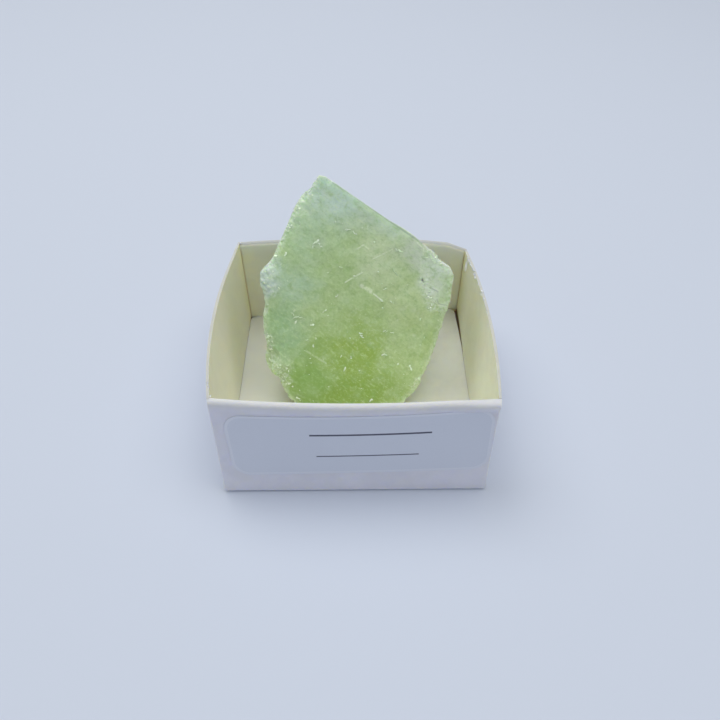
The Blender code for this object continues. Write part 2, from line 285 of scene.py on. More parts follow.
def smooth_step(value, low, high):
    """A smooth rise from 0 to 1 as the value goes from low to high."""
    share = min(max((value - low) / (high - low), 0.0), 1.0)
    return share * share * (3.0 - 2.0 * share)


def dress(thing, slot, *materials):
    """Give a piece its materials and its body; the slot it is handed is not used. Each face keeps its
    material's number.
    """
    kept = [face.material_index for face in thing.data.polygons]
    thing.data.materials.clear()
    for material in materials:
        thing.data.materials.append(material)
    thing.data.polygons.foreach_set("material_index", kept)
    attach(thing, "root")


# Materials


class Recipe:
    """One procedural material, with short calls that add its nodes."""

    def __init__(self, name, roughness):
        self.material = bpy.data.materials.new(name)
        self.material.use_nodes = True
        self.tree = self.material.node_tree
        self.shader = self.tree.nodes["Principled BSDF"]
        self.shader.inputs["Roughness"].default_value = roughness

    def plug(self, socket, value):
        """Link a socket to another one, or set its value."""
        if isinstance(value, bpy.types.NodeSocket):
            self.tree.links.new(value, socket)
        elif socket.type == "RGBA" and len(value) == 3:
            socket.default_value = (*value, 1.0)
        else:
            socket.default_value = value

    def add(self, kind, inputs, **settings):
        """Add a node with its inputs and settings."""
        node = self.tree.nodes.new("ShaderNode" + kind)
        for name, value in settings.items():
            setattr(node, name, value)
        for name, value in inputs.items():
            self.plug(node.inputs[name], value)
        return node

    def math(self, operation, *values):
        return self.add("Math", dict(enumerate(values)), operation=operation).outputs[0]

    def times(self, first, second):
        return self.math("MULTIPLY", first, second)

    def most(self, first, second):
        return self.math("MAXIMUM", first, second)

    def vector(self, operation, *values, result="Vector"):
        return self.add("VectorMath", dict(enumerate(values)), operation=operation).outputs[result]

    def apart(self, spot, middle, reach):
        """Distance from a middle, counted in its reach along each axis."""
        offset = self.vector("DIVIDE", self.vector("SUBTRACT", spot, middle), reach)
        return self.vector("LENGTH", offset, result="Value")

    def split(self, vector):
        """The three numbers of a vector."""
        return self.add("SeparateXYZ", {"Vector": vector}).outputs

    def place(self):
        """Object coordinates in millimetres."""
        here = self.add("TexCoord", {}).outputs["Object"]
        return self.add("Mapping", {"Vector": here, "Scale": (1 / MM,) * 3}).outputs["Vector"]

    def attribute(self, name):
        return self.add("Attribute", {}, attribute_name=name).outputs["Fac"]

    def noise(self, vector, size, detail, roughness):
        """Soft noise from 0 to 1 whose lumps are of about the given size."""
        inputs = {"Vector": vector, "Scale": 1 / size, "Detail": detail, "Roughness": roughness}
        return self.add("TexNoise", inputs).outputs["Fac"]

    def ramp(self, value, low, high, start=0.0, end=1.0):
        """A smooth rise from start to end as the value goes from low to high."""
        inputs = {"Value": value, "From Min": low, "From Max": high, "To Min": start, "To Max": end}
        return self.add("MapRange", inputs, interpolation_type="SMOOTHSTEP").outputs[0]

    def mix(self, share, first, second):
        """The colour between two others."""
        inputs = {0: share, 6: first, 7: second}
        return self.add("Mix", inputs, data_type="RGBA").outputs[2]

    def bump(self, height, depth, strength, under=None):
        """A relief of the given depth, laid over another one if there is one under it."""
        inputs = {"Height": height, "Distance": depth, "Strength": strength}
        if under is not None:
            inputs["Normal"] = under
        return self.add("Bump", inputs).outputs["Normal"]

    def set_evenly(self, values):
        """Set values that are the same all over the piece on the shader's own sockets."""
        for name, value in values.items():
            self.shader.inputs[name].default_value = value

    def finish(self, **inputs):
        """Set the shader's sockets, each named with _ for a space, and hand the material over."""
        for name, value in inputs.items():
            self.plug(self.shader.inputs[name.replace("_", " ")], value)
        return self.material


# Stone: shape

# Crushed and whitened places on the stone's edges: start and end in millimetres, reach and strength
CRUSHED = (
    ((-13.9, 25.0, -1.0), (-13.2, 22.6, -1.0), 2.4, 0.9),
    ((-13.8, 14.2, -0.6), (-13.5, 10.4, -0.6), 1.0, 0.80),
    ((-13.3, 10.2, -0.6), (-10.9, 6.6, -0.6), 1.4, 0.90),
    ((-11.6, 10.6, -0.4), (-10.7, 8.8, -0.4), 1.4, 0.35),
    ((11.8, 27.9, -0.3), (13.6, 26.0, -0.4), 1.1, 0.75),
    ((11.5, 21.7, -0.1), (12.5, 19.2, -0.1), 1.3, 0.75),
    ((10.5, 6.4, -0.6), (9.9, 5.2, -0.6), 1.2, 0.9),
    ((-7.6, 36.8, -0.6), (-12.6, 27.4, -0.8), 1.0, 0.6),
    ((-6.4, 38.6, -0.4), (-6.9, 36.8, -0.4), 1.1, 0.7),
)
# The share of its reach that is fully crushed, and how far and how finely its rim wanders
CRUSHED_CORE = 0.45
CRUSHED_WANDER = 0.5
CRUSHED_GRAIN = 1.1
# The straight upper side of the slab, which isn't broken: the way it faces, its edge and its reach
STRAIGHT_SIDE = Vector((0.56, 0.83, 0.0))
STRAIGHT_EDGE = (Vector((-3.6, 39.0, -0.1)), Vector((10.3, 29.5, -0.1)))
STRAIGHT_REACH = (1.0, 2.0)
STRAIGHT_FACING = (0.2, 0.6)
STRAIGHT_CLEAR = 1.3
# Sets of cleavage ledges: the way each faces and its spacing, and how far and how finely they wander
LEDGE_LINES = ((Vector((0.80, 0.59, 0.10)), 0.9), (Vector((-0.35, 0.93, 0.05)), 1.3))
LEDGE_WANDER = 0.9
LEDGE_GRAIN = 1.7
LEDGE_ON_FACE = 0.12
# Pits: spacing in millimetres, reach in shares of it, depth, share of places without one and its seed
PIT_SPACING = 1.9
PIT_REACH = 0.30
PIT_DEPTH = 0.10 * MM
PIT_SPARED = 0.72
PIT_SEED = 7.0
# Waves of the face and breaks of its rim: size in millimetres and height
WAVES = ((3.4, 1.0), (1.4, 0.45), (0.6, 0.2))
BREAKS = ((0.9, 1.0), (0.4, 0.8))
BREAK_REACH = (0.2, 1.6)
# The share of the waves that the stone's back has, and the slopes between its back and its front
WAVES_BEHIND = 0.25
FRONT_FACING = (0.3, 0.8)
# Slopes past which a face belongs to the front inside its rim, and past which it is divided once more
RIM_FACING = 0.5
DIVIDED_FACING = 0.45
# Edges sharper than this stay sharp, and the rest of the facets are rounded
CREASE_ANGLE = math.radians(24.0)
ROUNDING = {"factor": 0.5, "iterations": 14}


def line_distance(spot, start, end):
    """Distance of a point from a line between two others."""
    along = end - start
    share = min(max((spot - start).dot(along) / along.length_squared, 0.0), 1.0)
    return (spot - start - along * share).length


def crushed_share(spot):
    """How crushed the stone is at a point, from 0 to 1. The point is in millimetres."""
    share = 0.0
    ragged = 1.0 + CRUSHED_WANDER * noise.noise(spot / CRUSHED_GRAIN)
    for start, end, reach, strength in CRUSHED:
        away = line_distance(spot, Vector(start), Vector(end)) * ragged
        share = max(share, strength * (1.0 - smooth_step(away, reach * CRUSHED_CORE, reach)))
    return share


def ledges(spot):
    """Small cleavage steps, from -0.5 to 0.5."""
    total = 0.0
    for direction, spacing in LEDGE_LINES:
        place = spot.dot(direction) / spacing + LEDGE_WANDER * noise.noise(spot / LEDGE_GRAIN)
        total += place - math.floor(place) - 0.5
    return total / len(LEDGE_LINES)


def pits(spot):
    """Scattered shallow chips, from 0 to 1."""
    distances, points = noise.voronoi(spot / PIT_SPACING)
    spared = noise.cell(points[0] * PIT_SEED) <= PIT_SPARED
    return 0.0 if spared else max(1.0 - (distances[0] / PIT_REACH) ** 2, 0.0)


def uneven(spot, layers):
    """Noise laid in layers, each of its own size and height."""
    return sum(height * noise.noise(spot / size) for size, height in layers)


# Small shifts of the outline: middle, reach and shift on the slab's face, in millimetres
NUDGES = (
    ((-10.6, 6.0), 5.0, (-1.15, -0.1)),
    ((-13.2, 17.0), 6.0, (-0.80, 0.0)),
    ((-13.2, 9.3), 3.6, (-1.10, -0.1)),
    ((9.0, 5.5), 3.0, (0.90, 0.0)),
    ((15.0, 20.5), 3.0, (0.35, 0.0)),
    ((-6.0, 38.5), 3.0, (0.30, -0.25)),
    ((8.6, 30.8), 4.5, (0.12, 0.18)),
)


def nudge_outline(stone):
    """Shift parts of the stone's outline."""
    for vertex in stone.data.vertices:
        for middle, reach, shift in NUDGES:
            away = (vertex.co.xy / MM - Vector(middle)).length
            vertex.co.xy += Vector(shift) * MM * (1.0 - smooth_step(away, 0.0, reach))


# The shoulder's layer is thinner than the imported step: it is raised right of this line
SHOULDER_LINE = ((10.5, 30.0), (10.4, 25.0), (11.1, 22.6), (12.0, 21.2), (12.9, 19.9), (14.8, 18.3))
SHOULDER_MARGIN = 0.1
# Heights on the layer: by how much it is raised, where the raise starts, how fast and how deep it goes
SHOULDER_RAISE = 0.41
SHOULDER_TOP = 0.1
SHOULDER_SOFTNESS = 0.5
SHOULDER_DEPTH = (-2.4, -1.4)
# The level that the raised layer is pressed towards, and what is left of its unevenness
SHOULDER_LEVEL = -0.08
SHOULDER_UNEVEN = 0.35
# Along the line: reach and depth of what counts as its crease, and the spacing of the points left on it
CREASE_REACH = 0.6
CREASE_DEPTH = -0.8
CREASE_MERGE = 0.22 * MM
# The face beside the crease: how deep a point is still filled, how much of the way, and to what height
CREASE_SHALLOW = -0.25 * MM
CREASE_FILLED = 0.85
CREASE_LEVEL = 0.14
CREASE_FALL = 0.16
CREASE_FALLS = (19.5, 24.0)


def right_of_shoulder(spot):
    """Whether a point of the face, in millimetres, lies on the shoulder's layer."""
    for upper, lower in zip(SHOULDER_LINE, SHOULDER_LINE[1:]):
        if lower[1] <= spot.y <= upper[1]:
            share = (upper[1] - spot.y) / (upper[1] - lower[1])
            return spot.x > upper[0] + (lower[0] - upper[0]) * share - SHOULDER_MARGIN
    return False


def by_shoulder_line(place):
    """Whether a point of the face lies close to the shoulder's crease."""
    spot = place / MM
    corners = [Vector(corner) for corner in SHOULDER_LINE]
    away = min(line_distance(spot.xy, start, end) for start, end in zip(corners, corners[1:]))
    return away < CREASE_REACH and spot.z > CREASE_DEPTH


def raised(z):
    """The height, in millimetres, to which a point of the shoulder's layer is brought."""
    share = min(max((SHOULDER_TOP - z) / SHOULDER_SOFTNESS, 0.0), 1.0)
    z += SHOULDER_RAISE * share * smooth_step(z, *SHOULDER_DEPTH)
    if SHOULDER_DEPTH[1] < z < SHOULDER_LEVEL:
        z = SHOULDER_LEVEL + SHOULDER_UNEVEN * (z - SHOULDER_LEVEL)
    return z


def levelled(y):
    """The height of the face along the shoulder's crease, in millimetres."""
    return CREASE_LEVEL - CREASE_FALL * smooth_step(y, *CREASE_FALLS)


def raise_shoulder(stone):
    """Close the shoulder's step, so that only a faint line is left of it."""
    for vertex in stone.data.vertices:
        if right_of_shoulder(vertex.co / MM):
            vertex.co.z = raised(vertex.co.z / MM) * MM
        if by_shoulder_line(vertex.co) and vertex.co.z > CREASE_SHALLOW:
            vertex.co.z += CREASE_FILLED * (levelled(vertex.co.y / MM) * MM - vertex.co.z)
    edit(stone)
    select(stone, "verts", lambda vertex: by_shoulder_line(vertex.co))
    bpy.ops.mesh.remove_doubles(threshold=CREASE_MERGE)
    leave_edit()


def stone_copy():
    """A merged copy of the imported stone, laid on its back."""
    stone = add_object("calcite_stone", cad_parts["calcite"].data.copy())
    stone.data.transform(SLAB_TO_ROW.inverted())
    tidy_mesh(stone)
    return stone


def refine_stone(stone, cuts):
    """Divide the coarse faces, those of the broken front once more, and round their facets."""
    edit(stone)
    bpy.ops.mesh.select_all(action="SELECT")
    bpy.ops.mesh.subdivide(number_cuts=cuts)
    select(stone, "faces", lambda face: face.normal.z > DIVIDED_FACING)
    bpy.ops.mesh.subdivide(number_cuts=1)
    bpy.ops.mesh.select_all(action="SELECT")
    bpy.ops.mesh.quads_convert_to_tris()
    leave_edit()
    soft = stone.vertex_groups.new(name="soft")
    bm = bmesh.new()
    bm.from_mesh(stone.data)
    painted_light = set()
    for edge in bm.edges:
        if edge.calc_face_angle(0.0) > CREASE_ANGLE:
            painted_light.update(vertex.index for vertex in edge.verts)
    bm.free()
    rounded = [index for index in range(len(stone.data.vertices)) if index not in painted_light]
    soft.add(rounded, 1.0, "ADD")
    apply_modifier(stone, "SMOOTH", vertex_group="soft", **ROUNDING)


def face_rim(stone):
    """A search tree of the points round the rim of the broken front face."""
    bm = bmesh.new()
    bm.from_mesh(stone.data)
    rim = set()
    for edge in bm.edges:
        frontal = {face.normal.z > RIM_FACING for face in edge.link_faces}
        if len(frontal) == 2:
            rim.update(tuple(vertex.co) for vertex in edge.verts)
    bm.free()
    tree = KDTree(len(rim))
    for index, place in enumerate(sorted(rim)):
        tree.insert(place, index)
    tree.balance()
    return tree


def straight_share(spot):
    """How near a point, in millimetres, lies to the straight edge, from 0 to 1."""
    return 1.0 - smooth_step(line_distance(spot, *STRAIGHT_EDGE), *STRAIGHT_REACH)


def broken_share(rim, normal):
    """How broken the stone is at a distance from the rim of its face, from 0 to 1."""
    straight = smooth_step(normal.dot(STRAIGHT_SIDE), *STRAIGHT_FACING)
    return (1.0 - smooth_step(rim, *BREAK_REACH)) * (1.0 - straight)


def roughen_stone(stone, settings):
    """Give the stone its ripples, ledges and chips, and keep what its material reads."""
    normals = [vertex.normal.copy() for vertex in stone.data.vertices]
    rim_tree = face_rim(stone)
    crushed = []
    rims = []
    for vertex in stone.data.vertices:
        spot = vertex.co / MM
        crushed.append(crushed_share(spot))
        rims.append(rim_tree.find(vertex.co)[2] / MM + STRAIGHT_CLEAR * straight_share(spot))
    for vertex, normal, share, rim in zip(stone.data.vertices, normals, crushed, rims):
        spot = vertex.co / MM
        front = smooth_step(normal.z, *FRONT_FACING)
        height = settings.ripple * uneven(spot, WAVES) * (WAVES_BEHIND + (1.0 - WAVES_BEHIND) * front)
        height += settings.ledge * (LEDGE_ON_FACE * front + share) * ledges(spot)
        height += settings.ragged * broken_share(rim, normal) * uneven(spot, BREAKS)
        if not by_shoulder_line(vertex.co):
            height -= PIT_DEPTH * pits(spot)
        vertex.co += normal * height
    keep(stone, "crushed", crushed)
    keep(stone, "rim", rims)


# Stone: finish

# Cloudy patches of the stone: middle and reach on its face in millimetres, colour and strength.
# They are partly its own colour and partly painted light and shade: the darker, richer green at
# its foot down in the tray is partly painted shade, and its paler top partly painted light.
PATCHES = (
    ((-1.0, 3.0, 0.0), (13.0, 11.0, 40.0), (0.31, 0.48, 0.08), 0.97),
    ((0.2, 12.5, 0.0), (7.5, 6.0, 40.0), (0.37, 0.54, 0.09), 0.85),
    ((-7.0, 6.5, 0.0), (4.2, 4.6, 40.0), (0.33, 0.53, 0.17), 0.75),
    ((8.6, 11.5, 0.0), (5.0, 8.5, 40.0), (0.53, 0.68, 0.33), 0.85),
    ((-11.0, 15.8, 0.0), (5.2, 7.0, 40.0), (0.42, 0.63, 0.37), 0.90),
    ((-9.6, 23.0, 0.0), (4.6, 4.0, 40.0), (0.56, 0.75, 0.54), 0.90),
    ((-7.5, 30.5, 0.0), (5.0, 5.5, 40.0), (0.56, 0.75, 0.49), 0.80),
    ((-2.5, 37.0, 0.0), (10.0, 6.5, 40.0), (0.64, 0.80, 0.68), 1.0),
    ((5.5, 32.5, 0.0), (7.0, 4.0, 40.0), (0.65, 0.77, 0.64), 0.85),
    ((8.5, 20.5, 0.0), (6.5, 5.5, 40.0), (0.63, 0.76, 0.42), 0.75),
    ((4.0, 26.5, 0.0), (5.0, 4.5, 40.0), (0.71, 0.82, 0.54), 0.80),
    ((10.0, 28.5, 0.0), (4.5, 4.0, 40.0), (0.70, 0.77, 0.65), 0.85),
    ((13.2, 24.5, 0.0), (3.6, 5.0, 40.0), (0.77, 0.87, 0.73), 0.95),
    ((-14.0, 24.2, 0.0), (2.8, 4.0, 40.0), (0.62, 0.76, 0.74), 0.95),
)
# Where a patch starts to fade and where it ends, in shares of its reach, and how far and how finely
# its rim drifts
PATCH_FADE = (0.25, 1.15)
PATCH_DRIFT = 8.0
PATCH_GRAIN = 5.0
# Noises of the stone: size in millimetres, detail and roughness. The streaks are drawn out one way.
STONE_NOISES = {
    "streak": (0.55, 4.0, 0.65),
    "cloud": (3.0, 5.0, 0.6),
    "shade": (1.3, 4.0, 0.65),
    "grain": (0.42, 4.0, 0.7),
    "crumb": (0.45, 3.0, 0.7),
    "gather": (5.0, 2.0, 0.55),
    "break": (0.35, 2.0, 0.55),
}
STREAK_TURN = math.radians(-38.0)
STREAK_DRAWN = (2.8, 0.9, 1.0)
# Tints laid over the patches by these noises: where each starts and is full, its strength and colour
TINTS = (
    ("streak", 0.52, 0.70, 0.50, (0.70, 0.85, 0.50)),
    ("streak", 0.46, 0.30, 0.45, (0.36, 0.54, 0.22)),
    ("cloud", 0.45, 0.72, 0.42, (0.68, 0.82, 0.56)),
    ("shade", 0.52, 0.27, 0.50, (0.36, 0.56, 0.20)),
    ("grain", 0.48, 0.72, 0.40, (0.76, 0.88, 0.62)),
    ("grain", 0.50, 0.27, 0.35, (0.36, 0.55, 0.22)),
)
# Fine whitish scratches and glinting cracks, whose bright colour also paints their glints: start,
# end and half width in millimetres, and strength
SCRATCHES = (
    ((1.2, 22.6), (2.7, 21.7), 0.30, 0.80),
    ((2.6, 21.7), (4.5, 20.2), 0.11, 0.95),
    ((-7.8, 12.0), (-4.6, 9.9), 0.15, 0.45),
    ((0.7, 28.4), (1.5, 29.0), 0.11, 0.80),
    ((1.5, 29.0), (2.3, 28.4), 0.11, 0.70),
    ((3.0, 26.8), (6.0, 28.3), 0.10, 0.65),
    ((-1.3, 23.2), (1.3, 24.7), 0.11, 0.75),
    ((9.9, 29.3), (10.9, 28.3), 0.10, 0.80),
    ((10.9, 28.3), (10.8, 27.4), 0.10, 0.55),
    ((10.5, 26.8), (10.6, 22.9), 0.12, 0.30),
    ((11.5, 22.45), (13.4, 21.8), 0.10, 0.50),
    ((13.4, 21.8), (14.5, 22.8), 0.09, 0.40),
    ((13.3, 19.4), (14.9, 19.1), 0.09, 0.45),
)
# Lines of painted shade along the sharp straight edge and in the shoulder's cracks, given in the same way
SHADE_LINES = (
    ((-3.0, 38.4), (1.5, 35.45), 0.12, 0.45),
    ((1.5, 35.45), (5.0, 33.05), 0.13, 0.55),
    ((5.0, 33.05), (10.6, 29.25), 0.15, 0.60),
    ((12.0, 22.3), (13.3, 21.55), 0.09, 0.45),
    ((13.15, 20.4), (13.4, 19.65), 0.08, 0.40),
    ((13.4, 19.65), (14.8, 19.35), 0.08, 0.40),
)
# Where a line starts to fade and where it ends, in shares of its half width
LINE_FADE = (0.5, 1.6)
LINE_STRENGTH = 0.85
SCRATCH_AND_GLINT_COLOUR = (0.88, 0.98, 0.76)
SCRATCH_DEPTH = 0.05 * MM
SCRATCH_RELIEF = 0.6
LINE_SHADE_COLOUR = (0.26, 0.35, 0.28)
# The clear green lobe at the foot of the face: middle and reach in millimetres, rim in shares of the
# reach, strength, where it ends towards the right, and colour
LOBE = ((-2.5, 6.0, 0.0), (8.2, 9.0, 1.0))
LOBE_RIM = (0.97, 1.03)
LOBE_STRENGTH = 0.32
LOBE_ENDS = (-7.5, -2.0)
LOBE_COLOUR = (0.24, 0.44, 0.07)
# Layers of bright flecks, partly whitish flakes and partly painted glints: size of a cell in
# millimetres, share of cells with one, its reach, stretch, strength
FLECKS = (
    (1.0, 0.22, 0.22, (1.0, 0.5, 1.0), 0.6),
    (0.55, 0.12, 0.26, (0.7, 1.0, 1.0), 0.5),
)
FLECK_TURN = 0.6
# How finely and how far their outlines are torn, in cells
FLECK_GRAIN = 2.2
FLECK_TORN = 0.9
# Flecks gather in some places, and scratches and flecks break off: noise from and to, least and most
GATHERED = (0.42, 0.58, 0.15, 1.0)
BROKEN_OFF = (0.36, 0.52, 0.25, 1.0)
# The whitened places, and the pale rim of the face by its distance in millimetres
WHITENED = (0.84, 0.95, 0.80)
WHITENED_STRENGTH = 0.75
WHITENED_CRUMBS = (0.42, 0.62, 0.12, 1.0)
PALE_RIM = (0.1, 1.3)
PALE_RIM_STRENGTH = 0.8
PALE_RIM_CRUMBS = (0.3, 0.6)
# Roughness of the clear stone, and what whitening and shade add to it
STONE_ROUGHNESS = 0.30
WHITENED_ROUGHNESS = 0.25
SHADE_ROUGHNESS = 0.10
SHADED = (0.3, 0.7)
GRAIN_DEPTH = 0.06 * MM
GRAIN_STRENGTH = 0.5
# Light spreads under the surface, less so in scratches and in the lines of painted shade
SPREAD = 0.85
SPREAD_LOST = -0.5
SPREAD_COLOURS = (0.85, 1.0, 0.6)
SPREAD_DEPTH = 1.1 * MM


def line_mask(recipe, spot, start, end, half_width):
    """1 along a straight line between two points of the face, fading out over its half width."""
    start = Vector((*start, 0.0))
    along = Vector((*end, 0.0)) - start
    offset = recipe.vector("SUBTRACT", spot, start)
    dot = recipe.vector("DOT_PRODUCT", offset, along / along.length_squared, result="Value")
    share = recipe.add("Math", {0: dot, 1: 0.0}, operation="ADD", use_clamp=True).outputs[0]
    foot = recipe.add("VectorMath", {0: along, "Scale": share}, operation="SCALE").outputs["Vector"]
    gap = recipe.vector("DISTANCE", offset, foot, result="Value")
    return recipe.ramp(gap, *(half_width * part for part in LINE_FADE), 1.0, 0.0)


def lines_mask(recipe, spot, lines, under):
    """The strongest, at each point, of several lines and of the mask under them."""
    for start, end, half_width, strength in lines:
        line = line_mask(recipe, spot, start, end, half_width)
        under = recipe.most(under, recipe.times(line, strength))
    return under


def fleck_mask(recipe, spot, cell, picked, reach, stretch):
    """Small irregular bright flecks: a share of the cells holds one."""
    ragged = {"Vector": spot, "Scale": FLECK_GRAIN / cell, "Detail": 2.0}
    ragged = recipe.add("TexNoise", ragged).outputs["Color"]
    ragged = recipe.vector("SUBTRACT", ragged, (0.5, 0.5, 0.5))
    ragged = recipe.vector("MULTIPLY", ragged, (cell * FLECK_TORN,) * 3)
    torn = recipe.vector("ADD", spot, ragged)
    torn = recipe.add("Mapping", {"Vector": torn, "Rotation": (0.0, 0.0, FLECK_TURN), "Scale": stretch})
    inputs = {"Vector": torn.outputs["Vector"], "Scale": 1.0 / cell}
    cells = recipe.add("TexVoronoi", inputs, feature="F1")
    small = recipe.ramp(cells.outputs["Distance"], reach * 0.5, reach, 1.0, 0.0)
    chance = recipe.add("SeparateColor", {0: cells.outputs["Color"]}).outputs[0]
    return recipe.times(small, recipe.math("GREATER_THAN", chance, 1.0 - picked))


def clouded(recipe, spot, colour):
    """The stone's patches and tints over its green, and the noises that made them."""
    warp = recipe.add("TexNoise", {"Vector": spot, "Scale": 1 / PATCH_GRAIN, "Detail": 4.0}).outputs["Color"]
    warp = recipe.vector("SUBTRACT", warp, (0.5, 0.5, 0.5))
    drifted = recipe.vector("ADD", spot, recipe.vector("MULTIPLY", warp, (PATCH_DRIFT,) * 3))
    for middle, reach, tint, strength in PATCHES:
        share = recipe.ramp(recipe.apart(drifted, middle, reach), *PATCH_FADE, strength, 0.0)
        colour = recipe.mix(share, colour, tint)
    drawn = {"Vector": spot, "Rotation": (0.0, 0.0, STREAK_TURN), "Scale": STREAK_DRAWN}
    drawn = recipe.add("Mapping", drawn, vector_type="TEXTURE").outputs["Vector"]
    noises = {
        name: recipe.noise(drawn if name == "streak" else spot, size, detail, roughness)
        for name, (size, detail, roughness) in STONE_NOISES.items()
    }
    for name, low, high, strength, tint in TINTS:
        colour = recipe.mix(recipe.ramp(noises[name], low, high, 0.0, strength), colour, tint)
    return colour, noises


def calcite_material(green):
    recipe = Recipe("cloudy green calcite", STONE_ROUGHNESS)
    lay_down = {
        "Vector": recipe.add("TexCoord", {}).outputs["Object"],
        "Location": STONE_FOOT,
        "Rotation": (STONE_LEAN, 0.0, 0.0),
        "Scale": (MM, MM, MM),
    }
    spot = recipe.add("Mapping", lay_down, vector_type="TEXTURE").outputs["Vector"]
    flat = recipe.vector("MULTIPLY", spot, (1.0, 1.0, 0.0))
    colour, noises = clouded(recipe, spot, green)

    lobe = recipe.ramp(recipe.apart(flat, *LOBE), *LOBE_RIM, LOBE_STRENGTH, 0.0)
    leftward = recipe.ramp(recipe.split(flat)["X"], *LOBE_ENDS, 1.0, 0.0)
    colour = recipe.mix(recipe.times(lobe, leftward), colour, LOBE_COLOUR)

    crumb = noises["crumb"]
    white = recipe.times(recipe.attribute("crushed"), recipe.ramp(crumb, *WHITENED_CRUMBS))
    rim = recipe.ramp(recipe.attribute("rim"), *PALE_RIM, PALE_RIM_STRENGTH, 0.0)
    white = recipe.most(white, recipe.times(rim, recipe.ramp(crumb, *PALE_RIM_CRUMBS)))
    colour = recipe.mix(recipe.times(white, WHITENED_STRENGTH), colour, WHITENED)

    # Bright flecks: partly whitish flakes of the stone, partly painted glints
    coarse, fine = (
        recipe.times(fleck_mask(recipe, spot, *fleck), strength) for *fleck, strength in FLECKS
    )
    glint = recipe.times(recipe.most(coarse, fine), recipe.ramp(noises["gather"], *GATHERED))
    scratch_and_glint = lines_mask(recipe, flat, SCRATCHES, glint)
    scratch_and_glint = recipe.times(scratch_and_glint, recipe.ramp(noises["break"], *BROKEN_OFF))
    # The scratches and flecks are whitened, which also paints their glints
    colour = recipe.mix(recipe.times(scratch_and_glint, LINE_STRENGTH), colour, SCRATCH_AND_GLINT_COLOUR)
    # Painted shade: dark lines along the straight edge and in the shoulder's cracks
    line_shade = lines_mask(recipe, flat, SHADE_LINES, 0.0)
    colour = recipe.mix(recipe.times(line_shade, LINE_STRENGTH), colour, LINE_SHADE_COLOUR)

    normal = recipe.bump(noises["grain"], GRAIN_DEPTH, GRAIN_STRENGTH)
    normal = recipe.bump(scratch_and_glint, SCRATCH_DEPTH, SCRATCH_RELIEF, under=normal)
    rough = recipe.math("MULTIPLY_ADD", white, WHITENED_ROUGHNESS, STONE_ROUGHNESS)
    shaded = recipe.ramp(noises["shade"], *SHADED)
    rough = recipe.math("MULTIPLY_ADD", shaded, SHADE_ROUGHNESS, rough)
    recipe.set_evenly({
        "IOR": CALCITE_IOR,
        "Subsurface Radius": SPREAD_COLOURS,
        "Subsurface Scale": SPREAD_DEPTH,
    })
    spread = recipe.math("MULTIPLY_ADD", recipe.most(line_shade, scratch_and_glint), SPREAD_LOST, SPREAD)
    return recipe.finish(Base_Color=colour, Roughness=rough, Normal=normal, Subsurface_Weight=spread)


# Stone: glinting chips

# Bright cleavage chips on the face, whitish flakes whose bright colour also paints their glints: place,
# length and width in millimetres, turn in degrees
CHIPS = (
    (-5.7, 29.6, 0.80, 0.24, 40.0),
    (-5.1, 29.0, 0.55, 0.20, -30.0),
    (-6.2, 28.8, 0.45, 0.16, 65.0),
    (-0.9, 31.4, 0.60, 0.13, 20.0),
    (0.3, 30.8, 0.55, 0.13, -38.0),
    (7.0, 28.1, 0.90, 0.26, -42.0),
    (6.5, 24.8, 0.85, 0.13, -62.0),
    (6.0, 20.0, 0.50, 0.14, -50.0),
    (-4.6, 18.6, 0.60, 0.16, 52.0),
    (-4.2, 17.9, 0.40, 0.14, 0.0),
    (-6.7, 16.3, 0.50, 0.36, 10.0),
    (-9.0, 17.5, 0.85, 0.15, 2.0),
    (-9.8, 18.1, 0.50, 0.14, -45.0),
    (-9.3, 16.8, 0.45, 0.20, 60.0),
    (1.0, 14.9, 0.40, 0.22, 0.0),
    (1.3, 14.3, 0.55, 0.20, -45.0),
    (5.0, 15.2, 0.75, 0.15, 6.0),
    (6.2, 14.9, 0.50, 0.14, -20.0),
    (4.8, 11.3, 0.65, 0.22, 0.0),
    (-1.5, 8.9, 0.55, 0.26, 62.0),
    (-2.1, 11.1, 0.35, 0.16, 80.0),
    (9.1, 9.0, 0.60, 0.30, -65.0),
    (-6.6, 12.8, 0.35, 0.20, 90.0),
    (-7.6, 13.8, 0.35, 0.18, 30.0),
    (-2.0, 25.6, 0.40, 0.20, -35.0),
    (-2.7, 21.0, 0.40, 0.18, 60.0),
    (4.9, 22.1, 0.35, 0.18, 30.0),
    (10.6, 17.2, 0.35, 0.20, 80.0),
    (-10.6, 27.6, 0.45, 0.30, 70.0),
    (2.7, 3.4, 0.50, 0.30, 30.0),
    (-9.3, 3.7, 0.50, 0.30, -20.0),
    (4.3, 20.3, 0.45, 0.20, -50.0),
    (12.0, 27.1, 0.60, 0.13, -65.0),
    (12.4, 26.7, 0.50, 0.13, -60.0),
    (11.3, 27.0, 0.40, 0.13, 10.0),
    (12.8, 26.3, 0.35, 0.12, -50.0),
)
# Height of a chip in millimetres, and how much larger it is made than listed
CHIP_HEIGHT = 0.22
CHIP_GROWTH = 1.35
CHIP_TILT = math.radians(14.0)
# How far and how finely its outline is broken, and the least slope of the face that takes one
CHIP_RAGGED = 0.7
CHIP_GRAIN = 2.3
CHIP_FACING = 0.4
CHIP_SEED = 11
# The noise between its two colours (size in millimetres, detail and roughness) and where they meet
CHIP_NOISE = (0.6, 2.0, 0.55)
CHIP_GLIMMER = (0.3, 0.7)
CHIP_ROUGHNESS = 0.22
# Chips are cast onto the face from this height, in millimetres
CAST_FROM = 20.0
# Small chips: where they lie, length in millimetres, width in shares of it, and largest turn
DUST_ACROSS = (-14.0, 14.0)
DUST_UP = (3.0, 38.0)
DUST_LENGTH = (0.10, 0.30)
DUST_WIDTH = (0.35, 0.8)
DUST_TURN = 75.0
# How likely one stays, by a noise of the given size that gathers them
DUST_KEPT = 0.45
DUST_GATHERED = 0.9
DUST_GRAIN = 4.5
DUST_LAYER = 5.0
